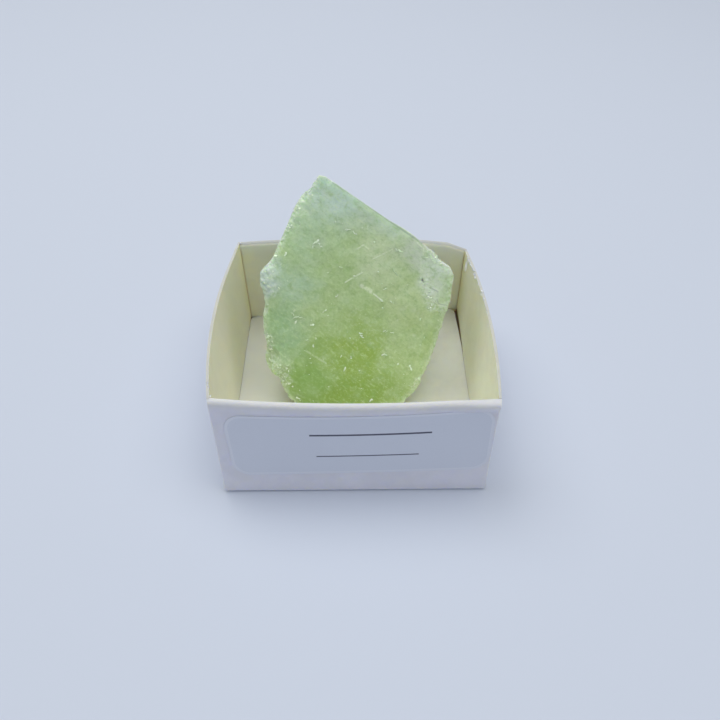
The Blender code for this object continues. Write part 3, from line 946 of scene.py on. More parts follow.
# Crumbs of the crushed edges, in the same way: how far they lie past the ends and stray to the sides
CRUMB_SPAN = (-0.1, 1.1)
CRUMB_STRAY = 0.3
CRUMB_LENGTH = (0.15, 0.45)
CRUMB_WIDTH = (0.4, 0.9)
CRUMB_TURN = 90.0
# Splinters of a chip: places along it, strays along and across, sizes in shares of the chip's, turn
SPLINTERS = (-0.42, 0.0, 0.42)
SPLINTER_STRAY = (0.12, 0.18)
SPLINTER_LENGTH = (0.45, 0.75)
SPLINTER_WIDTH = (0.5, 1.1)
SPLINTER_TURN = 35.0


def either_way(dice, most):
    """A random number from minus the given one to plus the given one."""
    return dice.uniform(-most, most)


def dust_chips(count):
    """Smaller chips strewn over the face, thicker in some places than in others."""
    dice = random.Random(CHIP_SEED)
    chips = []
    while len(chips) < count:
        x, y = dice.uniform(*DUST_ACROSS), dice.uniform(*DUST_UP)
        crowded = noise.noise(Vector((x, y, DUST_LAYER)) / DUST_GRAIN)
        if dice.random() < DUST_KEPT + DUST_GATHERED * crowded:
            length = dice.uniform(*DUST_LENGTH)
            width = length * dice.uniform(*DUST_WIDTH)
            chips.append((x, y, length, width, either_way(dice, DUST_TURN)))
    return chips


def crumbs(per_mm):
    """Small crumbs along the crushed edges."""
    dice = random.Random(CHIP_SEED)
    chips = []
    for start, end, reach, strength in CRUSHED:
        start, end = Vector(start), Vector(end)
        for _ in range(round(per_mm * (end - start).length * strength)):
            spot = start.lerp(end, dice.uniform(*CRUMB_SPAN))
            x = spot.x + dice.gauss(0.0, reach * CRUMB_STRAY)
            y = spot.y + dice.gauss(0.0, reach * CRUMB_STRAY)
            length = dice.uniform(*CRUMB_LENGTH)
            width = length * dice.uniform(*CRUMB_WIDTH)
            chips.append((x, y, length, width, either_way(dice, CRUMB_TURN)))
    return chips


def splinters(chips):
    """Each chip is broken into a few overlapping splinters."""
    dice = random.Random(CHIP_SEED)
    pieces = []
    for x, y, length, width, turn in chips:
        along = Matrix.Rotation(math.radians(turn), 2) @ Vector((length, 0.0))
        for share in SPLINTERS:
            place = Vector((x, y)) + along * (share + either_way(dice, SPLINTER_STRAY[0]))
            place += Vector((-along.y, along.x)) * either_way(dice, SPLINTER_STRAY[1])
            longer, wider = dice.uniform(*SPLINTER_LENGTH), dice.uniform(*SPLINTER_WIDTH)
            turned = turn + either_way(dice, SPLINTER_TURN)
            pieces.append((*place, length * longer, width * wider, turned))
    return pieces


def add_chip(bm, place, normal, length, width, turn):
    """One ragged chip lying on the face of the slab."""
    made = bmesh.ops.create_icosphere(bm, subdivisions=1, radius=0.5 * MM)["verts"]
    size = Vector((length * CHIP_GROWTH, width * CHIP_GROWTH, CHIP_HEIGHT))
    tilt = Vector((0.0, 0.0, 1.0)).rotation_difference(normal).to_matrix()
    lie = tilt @ Matrix.Rotation(-CHIP_TILT, 3, "X") @ Matrix.Rotation(math.radians(turn), 3, "Z")
    for vertex in made:
        ragged = 1.0 + CHIP_RAGGED * noise.noise(vertex.co / MM * CHIP_GRAIN + place / MM)
        vertex.co = place + lie @ (vertex.co * ragged * size)


def chip_mesh(stone, settings):
    """All the chips of the slab in one mesh, laid where rays from the front meet its face."""
    tree = BVHTree.FromPolygons(
        [SLAB_TO_ROW.inverted() @ vertex.co for vertex in stone.data.vertices],
        [tuple(face.vertices) for face in stone.data.polygons],
    )
    bm = bmesh.new()
    chips = (*splinters(CHIPS), *dust_chips(settings.dust), *crumbs(settings.crumbs))
    for x, y, length, width, turn in chips:
        above = Vector((x, y, CAST_FROM)) * MM
        place, normal, _, _ = tree.ray_cast(above, Vector((0.0, 0.0, -1.0)))
        if place is not None and normal.z > CHIP_FACING:
            add_chip(bm, place, normal, length, width, turn)
    mesh = finished_mesh("calcite_chips", bm)
    mesh.transform(SLAB_TO_ROW)
    return mesh


def chip_material(dim, bright):
    recipe = Recipe("bright calcite chip", CHIP_ROUGHNESS)
    glimmer = recipe.noise(recipe.place(), *CHIP_NOISE)
    tint = recipe.mix(recipe.ramp(glimmer, *CHIP_GLIMMER), dim, bright)
    recipe.set_evenly({"IOR": CALCITE_IOR})
    return recipe.finish(Base_Color=tint)


# Tray: shape

# Inner folds of the long strip and the folds at the walls' outer feet
FOLD_RADIUS = 0.45 * MM
FOOT_RADIUS = 0.12 * MM
# Straight card left just above an inner fold and above an outer one
FOLD_GAP = 0.8 * MM
FOOT_GAP = 1.2 * MM
# Steps of the inner folds and of the folds at the long strip's and the side walls' feet
FOLD_STEPS = 3
FOOT_STEPS = 6
SIDE_FOOT_STEPS = 4
# Distance between the strip's cross lines on its walls, its flap and its base, and its columns
WALL_STEP = 1.5 * MM
FLAP_STEP = 1.6 * MM
BASE_STEP = 2.0 * MM
WRAP_COLUMNS = 24
SIDE_COLUMNS = 20
# Angles between which a roll runs over a wall's top, and its steps
ROLL_ANGLES = (-15, 195)
ROLL_STEPS = 10
# Lines that carry the round corners of the flap, in shares of their radius
FLAP_CORNER_LINES = (0.0, 0.04, 0.15, 0.35, 0.62)
# What lies inside the rolled walls, and how far up and back the flap reaches
WITHIN_ROLLS = HALF - ROLLED_THICKNESS * 0.55
FLAP_TOP = FLAP_MIDDLE_HEIGHT + 0.05 * MM
FLAP_END = FLAP_BACK + 0.02 * MM
# How far the base and the side walls stand clear of the walls beside them
BASE_CLEARANCE = 0.05 * MM
SIDE_CLEARANCE = 0.06 * MM
# Where along its half width the front roll opens at either end, by which share, and how far it leans
OPENED_RIGHT = (HALF * 0.62, HALF)
OPENED_LEFT = (HALF * 0.90, HALF)
OPENED_BY = Vector((0.15, 0.75))
OPENED_LEAN = 0.55 * MM


def back_swell(point):
    """How much higher the back wall's top stands than the others, more so on its right half."""
    swell = BACK_SWELL.x + (BACK_SWELL.y - BACK_SWELL.x) * smooth_step(point.x, *BACK_SWELL_GROWS)
    swell *= 1.0 - smooth_step(point.x, *BACK_SWELL_ENDS)
    swell *= smooth_step(point.z, BACK_FOOT, WALL_HEIGHT - ROLL_SHOULDER)
    return swell * smooth_step(point.y, *BACK_SWELL_DEPTH)


def bent(point):
    """Where a point of the straight tray lies once its walls have leaned and bowed."""
    x = point.x / HALF
    y = point.y / HALF
    rise = max(point.z / WALL_HEIGHT, 0.0)
    front = LEAN_FRONT_LEFT.lerp(LEAN_FRONT_RIGHT, (x + 1) / 2)
    back = LEAN_BACK_LEFT.lerp(LEAN_BACK_RIGHT, (x + 1) / 2)
    lean = front.lerp(back, (y + 1) / 2) * rise
    bow_x = (BOW_RIGHT if x > 0 else BOW_LEFT) * x * (1 - y * y)
    bow_y = (BOW_BACK if y > 0 else BOW_FRONT) * y * (1 - x * x)
    bulge = Vector((bow_x, bow_y)) * rise**BOW_POWER
    return point + Vector((lean.x + bulge.x, lean.y + bulge.y, back_swell(point)))


def lifted(point):
    """The flap has sprung up towards the back right corner."""
    across = smooth_step(point.x, FLAP_LIFT_FROM.x, FLAP_LIFT_RIGHT)
    along = smooth_step(point.y, FLAP_LIFT_FROM.y, FLAP_BACK)
    return point + Vector((0.0, 0.0, FLAP_LIFT * across * along))


def bend_mesh(thing):
    """Lean and bow a piece with the tray's walls."""
    for vertex in thing.data.vertices:
        vertex.co = bent(vertex.co)


def arc(middle, radius, start, end, steps):
    """Points of an arc in Y and Z, both ends among them. Angles are in degrees from +Y."""
    points = []
    for index in range(steps + 1):
        angle = math.radians(start + (end - start) * index / steps)
        across, up = radius * math.cos(angle), radius * math.sin(angle)
        points.append(Vector((middle[0] + across, middle[1] + up)))
    return points


def run(start, end, step):
    """Evenly spaced points from start towards end, the end left out."""
    count = max(round((end - start).length / step), 1)
    return [start.lerp(end, index / count) for index in range(count)]


def folded_strip(name, path, half_width, columns):
    """A strip of card drawn out edge by edge along a path in Y and Z."""
    strip = add_plane(name, 1.0)
    edit(strip)
    select(strip, "verts", lambda vertex: vertex.co.y > 0)
    bpy.ops.mesh.delete(type="VERT")
    bpy.ops.mesh.select_all(action="SELECT")
    bpy.ops.mesh.subdivide(number_cuts=columns - 1)
    bpy.ops.transform.resize(value=(half_width * 2, 1.0, 1.0))
    bpy.ops.transform.translate(value=(0.0, path[0].x + 0.5, path[0].y))
    bpy.ops.mesh.select_mode(type="EDGE")
    bpy.ops.mesh.select_all(action="SELECT")
    for before, after in zip(path, path[1:]):
        move = {"value": (0.0, after.x - before.x, after.y - before.y)}
        bpy.ops.mesh.extrude_region_move(TRANSFORM_OT_translate=move)
    leave_edit()
    return strip


def roll(middle_y, card):
    """Points over a wall's rolled top, which is wider than the wall."""
    middle = (middle_y, WALL_HEIGHT - card / 2 - ROLL_RADIUS)
    return arc(middle, ROLL_RADIUS, *ROLL_ANGLES, ROLL_STEPS)


def wrap_path(card):
    """The side view of the long strip: flap, front wall, floor and back wall, as (y, z)."""
    base = card / 2 + BASE_RISE
    outer = HALF - card / 2
    inner = HALF - ROLLED_THICKNESS + card / 2
    wall_middle = HALF - ROLLED_THICKNESS / 2
    shoulder = WALL_HEIGHT - ROLL_SHOULDER
    flap = FLAP_MIDDLE_HEIGHT
    path = [Vector((FLAP_BACK - FLAP_CORNER * share, flap)) for share in FLAP_CORNER_LINES]
    path += run(Vector((FLAP_BACK - FLAP_CORNER, flap)), Vector((FOLD_RADIUS - inner, flap)), FLAP_STEP)
    path += arc((FOLD_RADIUS - inner, flap + FOLD_RADIUS), FOLD_RADIUS, 270, 180, FOLD_STEPS)
    risen = flap + FOLD_RADIUS + FOLD_GAP
    path += run(Vector((-inner, risen)), Vector((-inner, shoulder)), WALL_STEP)
    path += [Vector((-inner, shoulder)), *roll(-wall_middle, card)]
    path += run(Vector((-outer, shoulder)), Vector((-outer, base + FOOT_RADIUS)), WALL_STEP)
    path += arc((FOOT_RADIUS - outer, base + FOOT_RADIUS), FOOT_RADIUS, 180, 270, FOOT_STEPS)
    onward = Vector((FOOT_RADIUS + WALL_STEP - outer, base))
    path += run(onward, Vector((outer - FOOT_RADIUS, base)), BASE_STEP)
    path += arc((outer - FOOT_RADIUS, base + FOOT_RADIUS), FOOT_RADIUS, 270, 360, FOOT_STEPS)
    risen = base + FOOT_RADIUS + FOOT_GAP
    path += run(Vector((outer, risen)), Vector((outer, shoulder)), WALL_STEP)
    path += [Vector((outer, shoulder)), *roll(wall_middle, card)]
    path += run(Vector((inner, shoulder)), Vector((inner, flap)), WALL_STEP)
    return path + [Vector((inner, flap))]


def flap_side(point):
    """How much of its straight width the flap has: its corners are round, its right side lifts away."""
    past = max(point.y - (FLAP_BACK - FLAP_CORNER), 0.0) / FLAP_CORNER
    share = 1.0 - (FLAP_CORNER / HALF) * (1.0 - math.sqrt(max(1.0 - past * past, 0.0)))
    if point.x > 0:
        share -= (FLAP_DRAWN_IN / HALF) * smooth_step(point.y, FLAP_DRAWN_FROM, FLAP_BACK)
    return share


def swell_roll(point):
    """The front roll opens up towards its right end."""
    middle = Vector((-HALF + ROLLED_THICKNESS / 2, WALL_HEIGHT - ROLL_RADIUS))
    right = smooth_step(point.x, *OPENED_RIGHT)
    left = smooth_step(-point.x, *OPENED_LEFT)
    high = smooth_step(point.z, ROLL_BOTTOM, middle.y)
    point.y += (point.y - middle.x) * (OPENED_BY.y * right + OPENED_BY.x * left) * high
    point.y -= OPENED_LEAN * right * high


def shape_wrap(wrap, card):
    """Narrow the inner layers, swell the front roll, round the flap's corners and lift it."""
    for vertex in wrap.data.vertices:
        spot = vertex.co
        within = abs(spot.y) < WITHIN_ROLLS and spot.z > card * 1.5
        if within and spot.z < WALL_HEIGHT - ROLL_SHOULDER * 0.5:
            spot.x *= INNER_SIDE / HALF
        elif spot.z < card * 1.2:
            spot.x *= (HALF - card - BASE_CLEARANCE) / HALF
        if spot.y < 0 and spot.z > ROLL_BOTTOM:
            swell_roll(spot)
        elif spot.y < -WITHIN_ROLLS:
            spot.y -= FRONT_FOOT * (1.0 - smooth_step(spot.z, 0.0, FRONT_FOOT_HEIGHT))
        if within and spot.z < FLAP_TOP and spot.y < FLAP_END:
            spot.x *= flap_side(spot)
            spot.z = lifted(spot).z
        elif within and spot.y > 0 and spot.z < BACK_FOOT:
            share = 1.0 - smooth_step(spot.z, FLAP_MIDDLE_HEIGHT, BACK_FOOT)
            spot.z += (lifted(spot).z - spot.z) * share


def side_wall(name, side, card):
    """One single-card side wall, rolled under at its foot, with a raw top edge."""
    outer = HALF - card / 2
    path = arc((FOLD_RADIUS - outer, card / 2 + FOLD_RADIUS), FOLD_RADIUS, 270, 180, SIDE_FOOT_STEPS)
    path += run(path[-1] + Vector((0.0, FOOT_GAP)), Vector((-outer, WALL_HEIGHT)), WALL_STEP)
    path.append(Vector((-outer, WALL_HEIGHT)))
    wall = folded_strip(name, path, HALF - card - SIDE_CLEARANCE, SIDE_COLUMNS)
    wall.data.transform(Matrix.Rotation(side * math.pi / 2, 4, "Z"))
    return wall


# Numbers of the card's materials
WHITE, CREAM, RAW, FLAP = range(4)
# How near the straight tray's outside a white face lies, and how far down a roll its face reaches
OUTSIDE = 0.05 * MM
ROLL_FACE = 0.75 * MM
# Slopes of the faces under the base and on the flap
FACES_DOWN = -0.1
FACES_UP = 0.7
# Stands for a wall's distance from a roll that it hasn't got
NO_ROLL = 9.0


def card_side(face, rolled):
    """Which material a face of the straight tray has."""
    middle = face.center
    outside = max(abs(middle.x), abs(middle.y)) > HALF - OUTSIDE or middle.z < OUTSIDE
    outside = outside or (middle.z < FLAP_MIDDLE_HEIGHT and face.normal.z < FACES_DOWN)
    on_roll = rolled and middle.z > WALL_HEIGHT - ROLL_FACE
    if (outside and not (on_roll and middle.y > 0)) or (on_roll and middle.y < 0):
        return WHITE
    if rolled and face.normal.z > FACES_UP and middle.z < FLAP_LIFT * 2:
        return FLAP
    return CREAM


def corner_gap(point, rolled):
    """Distance in from the nearest upright corner of the straight tray, below zero past it."""
    if rolled:
        return INNER_SIDE - abs(point.x)
    return HALF - ROLLED_THICKNESS - abs(point.y)


def above_flap(point, rolled):
    """Height above the flap, where a wall meets it: the end walls run on below it."""
    if rolled and point.z > 2 * FLAP_MIDDLE_HEIGHT:
        return WALL_HEIGHT
    return point.z - lifted(Vector((point.x, point.y, FLAP_MIDDLE_HEIGHT))).z


def mark_creases(sheet, rolled):
    """Keep each point's distance, in millimetres, from the corners, the flap below and the roll above."""
    points = [vertex.co for vertex in sheet.data.vertices]
    keep(sheet, "corner", [corner_gap(point, rolled) / MM for point in points])
    keep(sheet, "foot", [above_flap(point, rolled) / MM for point in points])
    keep(sheet, "below_top", [(WALL_HEIGHT - point.z) / MM if rolled else NO_ROLL for point in points])


def finish_card(sheet, card, materials, rolled):
    """Give a folded sheet its thickness, its two sides and its raw rim."""
    dress(sheet, "card", *materials)
    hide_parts("card_tray")
    apply_modifier(sheet, "SOLIDIFY", thickness=card, offset=0.0, material_offset_rim=RAW)
    tidy_mesh(sheet)
    for face in sheet.data.polygons:
        if face.material_index != RAW:
            face.material_index = card_side(face, rolled)
    mark_creases(sheet, rolled)
    bend_mesh(sheet)
    shade_smooth(sheet)


# Torn bits of card: place on the straight tray, size in millimetres and turns in degrees
SCRAPS = (
    ((19.25, 15.9, 16.8), (0.45, 2.3, 0.14), (45.0, 0.0, -18.0)),
    ((-19.75, -16.6, 17.9), (0.35, 1.3, 0.25), (8.0, 0.0, 3.0)),
    ((-19.55, -18.6, 17.7), (0.30, 0.9, 0.20), (-20.0, 0.0, -6.0)),
    ((-19.3, -18.2, 1.3), (0.25, 0.5, 0.25), (30.0, 10.0, 20.0)),
    ((-19.5, 19.2, 18.1), (0.35, 0.35, 0.45), (20.0, 30.0, 0.0)),
)
SCRAP_RAGGED = 0.8
SCRAP_GRAIN = 2.5
# Least and most of the same for the fibres of the frayed edge, along each axis
FRAYED_PLACE = ((19.45, 19.75), (1.0, 17.0), (17.8, 18.05))
FRAYED_SIZE = ((0.12, 0.30), (0.3, 1.0), (0.10, 0.30))
FRAYED_TURN = ((-25.0, 25.0), (-30.0, 30.0), (-12.0, 12.0))
FRAYED_SEED = 5


def frayed_edge(count):
    """Small torn fibres along the raw top of the right wall."""
    dice = random.Random(FRAYED_SEED)
    ranges = (FRAYED_PLACE, FRAYED_SIZE, FRAYED_TURN)
    return [[[dice.uniform(*span) for span in axes] for axes in ranges] for _ in range(count)]


def scrap_mesh(fibres):
    """All the torn bits in one mesh, bent with the tray."""
    bm = bmesh.new()
    for place, size, turns in (*SCRAPS, *frayed_edge(fibres)):
        made = bmesh.ops.create_icosphere(bm, subdivisions=2, radius=0.5 * MM)["verts"]
        turn = Euler([math.radians(angle) for angle in turns]).to_matrix()
        for vertex in made:
            ragged = 1.0 + SCRAP_RAGGED * noise.noise(vertex.co / MM * SCRAP_GRAIN + Vector(place))
            spot = Vector(place) * MM + turn @ (vertex.co * ragged * Vector(size))
            vertex.co = bent(spot)
    return finished_mesh("tray_scraps", bm)


# Tray: finish

CARD_ROUGHNESS = 0.72
RAW_ROUGHNESS = 0.9
# Noises of the card: size in millimetres, detail and roughness
MOTTLE = (3.5, 4.0, 0.6)
FIBRE = (0.22, 4.0, 0.7)
BOUNCE_MOTTLE = (2.2, 3.0, 0.55)
# Where those noises start to tint the card and where they are full, and the least and most of the
# mottle in the painted bounce light
MOTTLED = (0.35, 0.65)
FRECKLED = (0.60, 0.75)
BOUNCE_MOTTLED = (0.3, 0.7, 0.5, 1.0)
# The card's white turns greyer near the top of a rolled wall, down to this depth in millimetres
ROLL_GREY = (0.70, 0.705, 0.71)
ROLL_GREY_DEPTH = (0.3, 1.6)
# Painted shade darkens the card towards its left, between these places across it, in millimetres
LEFT_SHADE_SPAN = (-6.0, -18.0)
# Share of the card's colour that is left in the painted shade on its left, in mottles and in freckles
LEFT_SHADE_SHARE = 0.8
MOTTLE_SHADE = 0.95
FRECKLE_SHADE = 0.7
# The cream side is painted yellower near its corners, as warm light bounced between the walls:
# colour, distance in millimetres and strength
CORNER_BOUNCE_TINT = (0.97, 0.90, 0.58)
CORNER_BOUNCE_REACH = (0.2, 4.5)
CORNER_BOUNCE_STRENGTH = 0.55
# Painted shade in the narrow slits at its corners, brown lines which fade towards the top, and
# browner painted shade under the flap at its foot
SLIT_SHADE_COLOUR = (0.80, 0.66, 0.42)
SHADE_REACH = (0.05, 0.32)
SLIT_SHADE_STRENGTH = 0.85
SLIT_SHADE_BELOW = (0.2, 1.6, 0.2, 1.0)
UNDER_FLAP_SHADE = (0.66, 0.52, 0.32)
# Bands under a roll's top, a paler band of the card's own colour and a grey band of painted shade
# along the dull top edge: colour, distance in millimetres below the top, strength
ROLL_TOP_BANDS = (
    ((0.97, 0.94, 0.84), (0.3, 3.0), 0.85),
    ((0.50, 0.51, 0.50), (0.10, 0.45), 1.0),
)
# The card gives back a little light from inside
CARD_GLOW = {
    "Subsurface Weight": 1.0,
    "Subsurface Radius": (1.0, 0.9, 0.6),
    "Subsurface Scale": 0.50 * MM,
}
FIBRE_DEPTH = 0.03 * MM
FIBRE_STRENGTH = 0.4


def darker(colour, share):
    """A colour brought down to a share of its brightness."""
    return tuple(part * share for part in colour)


def paint_light_and_shade(recipe, spot, tint):
    """The cream side's painted warm bounce light near its corners, its paler band and grey band of painted
    shade under a roll's top, and painted shade in its corner slits and under the flap.
    """
    corner = recipe.attribute("corner")
    below = recipe.attribute("below_top")
    mottled = recipe.ramp(recipe.noise(spot, *BOUNCE_MOTTLE), *BOUNCE_MOTTLED)
    # Painted warm bounce light near the corners
    bounce = recipe.ramp(corner, *CORNER_BOUNCE_REACH, CORNER_BOUNCE_STRENGTH, 0.0)
    tint = recipe.mix(recipe.times(bounce, mottled), tint, CORNER_BOUNCE_TINT)
    # A paler band of the card's own colour, and a grey band of painted shade along the top
    for colour, depth, strength in ROLL_TOP_BANDS:
        tint = recipe.mix(recipe.ramp(below, *depth, strength, 0.0), tint, colour)
    # Painted shade in the narrow slits at the corners
    gap = recipe.ramp(corner, *SHADE_REACH, SLIT_SHADE_STRENGTH, 0.0)
    gap = recipe.times(gap, recipe.ramp(below, *SLIT_SHADE_BELOW))
    tint = recipe.mix(gap, tint, SLIT_SHADE_COLOUR)
    # Painted shade under the flap
    foot = recipe.attribute("foot")
    return recipe.mix(recipe.ramp(foot, *SHADE_REACH, 1.0, 0.0), tint, UNDER_FLAP_SHADE)


def card_material(name, colour, freckle, roughness=CARD_ROUGHNESS, left_shade=0.0, painted_light=False, roll_grey=0.0):
    """Mottled, freckled card, with painted shade towards its left, greyer near a rolled wall's top, and on
    the cream side painted light and shade in its corners and under its rolls' tops.
    """
    recipe = Recipe(name, roughness)
    spot = recipe.place()
    mottled = recipe.ramp(recipe.noise(spot, *MOTTLE), *MOTTLED)
    tint = recipe.mix(mottled, colour, darker(colour, MOTTLE_SHADE))
    # Painted shade: the card darkens towards its left
    dust = recipe.ramp(recipe.split(spot)["X"], *LEFT_SHADE_SPAN, 0.0, left_shade)
    tint = recipe.mix(dust, tint, darker(colour, LEFT_SHADE_SHARE))
    fibre = recipe.noise(spot, *FIBRE)
    freckles = recipe.ramp(fibre, *FRECKLED, 0.0, freckle)
    tint = recipe.mix(freckles, tint, darker(colour, FRECKLE_SHADE))
    # The cream side's painted light and shade
    if painted_light:
        tint = paint_light_and_shade(recipe, spot, tint)
    # Greyer near the top of a rolled wall
    elif roll_grey:
        below = recipe.attribute("below_top")
        tint = recipe.mix(recipe.ramp(below, *ROLL_GREY_DEPTH, roll_grey, 0.0), tint, ROLL_GREY)
    recipe.set_evenly(CARD_GLOW)
    return recipe.finish(Base_Color=tint, Normal=recipe.bump(fibre, FIBRE_DEPTH, FIBRE_STRENGTH))


# Label

# Where the label's middle lies on the front wall, its turn and its gap from the card
LABEL_MIDDLE = Vector((0.75, 10.05)) * MM
LABEL_TILT = math.radians(1.4)
LABEL_GAP = 0.02 * MM
# Width and rise of its lip, slices that let it bend with the wall, and steps round its corners
LABEL_LIP = 0.45 * MM
LABEL_LIP_RISE = 0.03 * MM
LABEL_SLICES = 24
LABEL_CORNER_STEPS = 8
# Ruled lines on the label: left end, right end, height above its middle and thickness
RULED_LINES = (
    (-7.1, 10.2, 2.3, 0.34),
    (-6.4, 8.5, -2.2, 0.22),
)
RULED_BLUR = 0.04
RULED_STRENGTH = 0.92
# The paper's noise, in the same way as the card's, where it flecks the paper and its relief
PAPER_FIBRE = (0.25, 4.0, 0.7)
PAPER_FLECKED = (0.45, 0.75, 0.0, 0.12)
PAPER_SHADE = 0.8
PAPER_DEPTH = 0.02 * MM
PAPER_STRENGTH = 0.3
PAPER_ROUGHNESS = 0.55


def sticker(settings):
    """A thin round-cornered sticker whose very edge stands slightly proud."""
    label = add_plane("label_sticker", 1.0)
    edit(label)
    bpy.ops.mesh.select_all(action="SELECT")
    bpy.ops.transform.resize(value=(settings.width, settings.height, 1.0))
    bpy.ops.mesh.bevel(offset=settings.corner, segments=LABEL_CORNER_STEPS, affect="VERTICES")
    for lip, rise in ((LABEL_LIP * 0.5, 0.0), (LABEL_LIP * 0.5, -LABEL_LIP_RISE)):
        select(label, "faces", lambda face: face.calc_area() > settings.width * settings.height / 2)
        bpy.ops.mesh.inset(thickness=lip, depth=rise)
    for index in range(1, LABEL_SLICES):
        bpy.ops.mesh.select_all(action="SELECT")
        place = (settings.width * (index / LABEL_SLICES - 0.5), 0.0, 0.0)
        bpy.ops.mesh.bisect(plane_co=place, plane_no=(1.0, 0.0, 0.0))
    leave_edit()
    spots = label.data.uv_layers.active.data
    for loop in label.data.loops:
        across, up, _ = label.data.vertices[loop.vertex_index].co / MM
        spots[loop.index].uv = (across, up)
    apply_modifier(label, "SOLIDIFY", thickness=settings.thickness, offset=-1.0)
    paint_edge_highlight(label, settings)
    tilt = Matrix.Rotation(LABEL_TILT, 4, "Z")
    upright = Matrix.Rotation(math.pi / 2, 4, "X")
    stand_off = -HALF - LABEL_GAP - settings.thickness
    place = Matrix.Translation((LABEL_MIDDLE.x, stand_off, LABEL_MIDDLE.y))
    label.data.transform(place @ upright @ tilt)
    bend_mesh(label)
    return label


def paint_edge_highlight(label, settings):
    """Give the lip round the sticker its paler second material, a painted highlight along its edge."""
    across = settings.width / 2 - settings.corner
    up = settings.height / 2 - settings.corner
    for face in label.data.polygons:
        past = (max(abs(face.center.x) - across, 0.0), max(abs(face.center.y) - up, 0.0))
        face.material_index = int(math.hypot(*past) > settings.corner - LABEL_LIP)


def band(recipe, place, middle, half):
    """1 within half a width of the middle."""
    away = recipe.math("ABSOLUTE", recipe.math("SUBTRACT", place, middle))
    return recipe.ramp(away, half - RULED_BLUR, half + RULED_BLUR, 1.0, 0.0)


def label_material(name, paper, ink):
    recipe = Recipe(name, PAPER_ROUGHNESS)
    across, up, _ = recipe.split(recipe.add("UVMap", {}).outputs["UV"])
    fibre = recipe.noise(recipe.place(), *PAPER_FIBRE)
    tint = recipe.mix(recipe.ramp(fibre, *PAPER_FLECKED), paper, darker(paper, PAPER_SHADE))
    printed = 0.0
    for left, right, height, thickness in RULED_LINES:
        along = band(recipe, across, (left + right) / 2, (right - left) / 2)
        line = band(recipe, up, height, thickness / 2)
        printed = recipe.most(printed, recipe.times(along, line))
    tint = recipe.mix(recipe.times(printed, RULED_STRENGTH), tint, ink)
    return recipe.finish(Base_Color=tint, Normal=recipe.bump(fibre, PAPER_DEPTH, PAPER_STRENGTH))


# Stage

LIGHT_AWAY = 0.60
LIGHT_SIZE = 0.42
WARM_LIGHT = (1.0, 1.0, 0.98)
COOL_LIGHT = (0.87, 0.91, 1.0)
# Bearing from the front towards +X and height in degrees of the key light
KEY_PLACE = (-135.0, 60.0)
# Fill lights: name, bearing and height in the same way, power and colour
FILLS = (
    ("back fill", 180.0, 74.0, 0.85, WARM_LIGHT),
    ("right fill", 90.0, 68.0, 0.68, WARM_LIGHT),
    ("front fill", 0.0, 47.0, 0.57, COOL_LIGHT),
)
SKY_COLOUR = (0.92, 0.95, 1.0, 1.0)
FLOOR_SIZE = 4.0
FLOOR_ROUGHNESS = 0.8


def soft_light(name, bearing, height, power, colour):
    """A round soft light on a dome over the tray, aimed at its middle."""
    turn = Euler((math.radians(90.0 - height), 0.0, math.radians(bearing)))
    bpy.ops.object.light_add(type="AREA", location=(0.0, 0.0, LIGHT_AWAY))
    light = bpy.context.object
    light.matrix_world = turn.to_matrix().to_4x4() @ light.matrix_world
    light.name = name
    light.data.shape = "DISK"
    light.data.size = LIGHT_SIZE
    light.data.energy = power
    light.data.color = colour


# Operators


class CALCITE_OT_stone(bpy.types.Operator):
    """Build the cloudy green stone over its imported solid"""

    bl_idname = "calcite.stone"
    bl_label = "Calcite stone"

    def execute(self, context):
        settings = context.scene.calcite_stone
        stone = stone_copy()
        raise_shoulder(stone)
        refine_stone(stone, settings.cuts)
        nudge_outline(stone)
        roughen_stone(stone, settings)
        stone.data.transform(SLAB_TO_ROW)
        shade_smooth(stone)
        dress(stone, "calcite", calcite_material(tuple(settings.green)))
        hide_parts("calcite")
        return {"FINISHED"}


class CALCITE_OT_chips(bpy.types.Operator):
    """Strew the bright cleavage chips over the face of the stone"""

    bl_idname = "calcite.chips"
    bl_label = "Cleavage chips"

    def execute(self, context):
        settings = context.scene.calcite_chips
        mesh = chip_mesh(bpy.data.objects["calcite_stone"], settings)
        chips = add_object("calcite_chips", mesh)
        shade_smooth(chips)
        dress(chips, "calcite", chip_material(tuple(settings.dim), tuple(settings.bright)))
        return {"FINISHED"}


class CALCITE_OT_tray(bpy.types.Operator):
    """Fold the card tray: one long strip and two side walls"""

    bl_idname = "calcite.tray"
    bl_label = "Card tray"

    def execute(self, context):
        settings = context.scene.calcite_tray
        faces = (
            card_material("white card face", settings.white, freckle=0.10, roll_grey=0.8),
            card_material("cream card face", settings.cream, freckle=0.25, left_shade=0.5, painted_light=True),
            card_material("raw card edge", settings.edge, freckle=0.20, roughness=RAW_ROUGHNESS),
            card_material("floor flap face", settings.flap, freckle=0.20, left_shade=0.75),
        )
        wrap = folded_strip("tray_wrap", wrap_path(settings.card), HALF, WRAP_COLUMNS)
        shape_wrap(wrap, settings.card)
        finish_card(wrap, settings.card, faces, True)
        for side, name in ((-1, "tray_side_left"), (1, "tray_side_right")):
            wall = side_wall(name, side, settings.card)
            finish_card(wall, settings.card, faces, False)
        return {"FINISHED"}


class CALCITE_OT_scraps(bpy.types.Operator):
    """Add the torn bits of card along the tray's raw edges"""

    bl_idname = "calcite.scraps"
    bl_label = "Torn bits"

    def execute(self, context):
        settings = context.scene.calcite_scraps
        scraps = add_object("tray_scraps", scrap_mesh(settings.fibres))
        torn = card_material("torn card", settings.card, freckle=0.10, roughness=RAW_ROUGHNESS)
        dress(scraps, "card", torn)
        return {"FINISHED"}


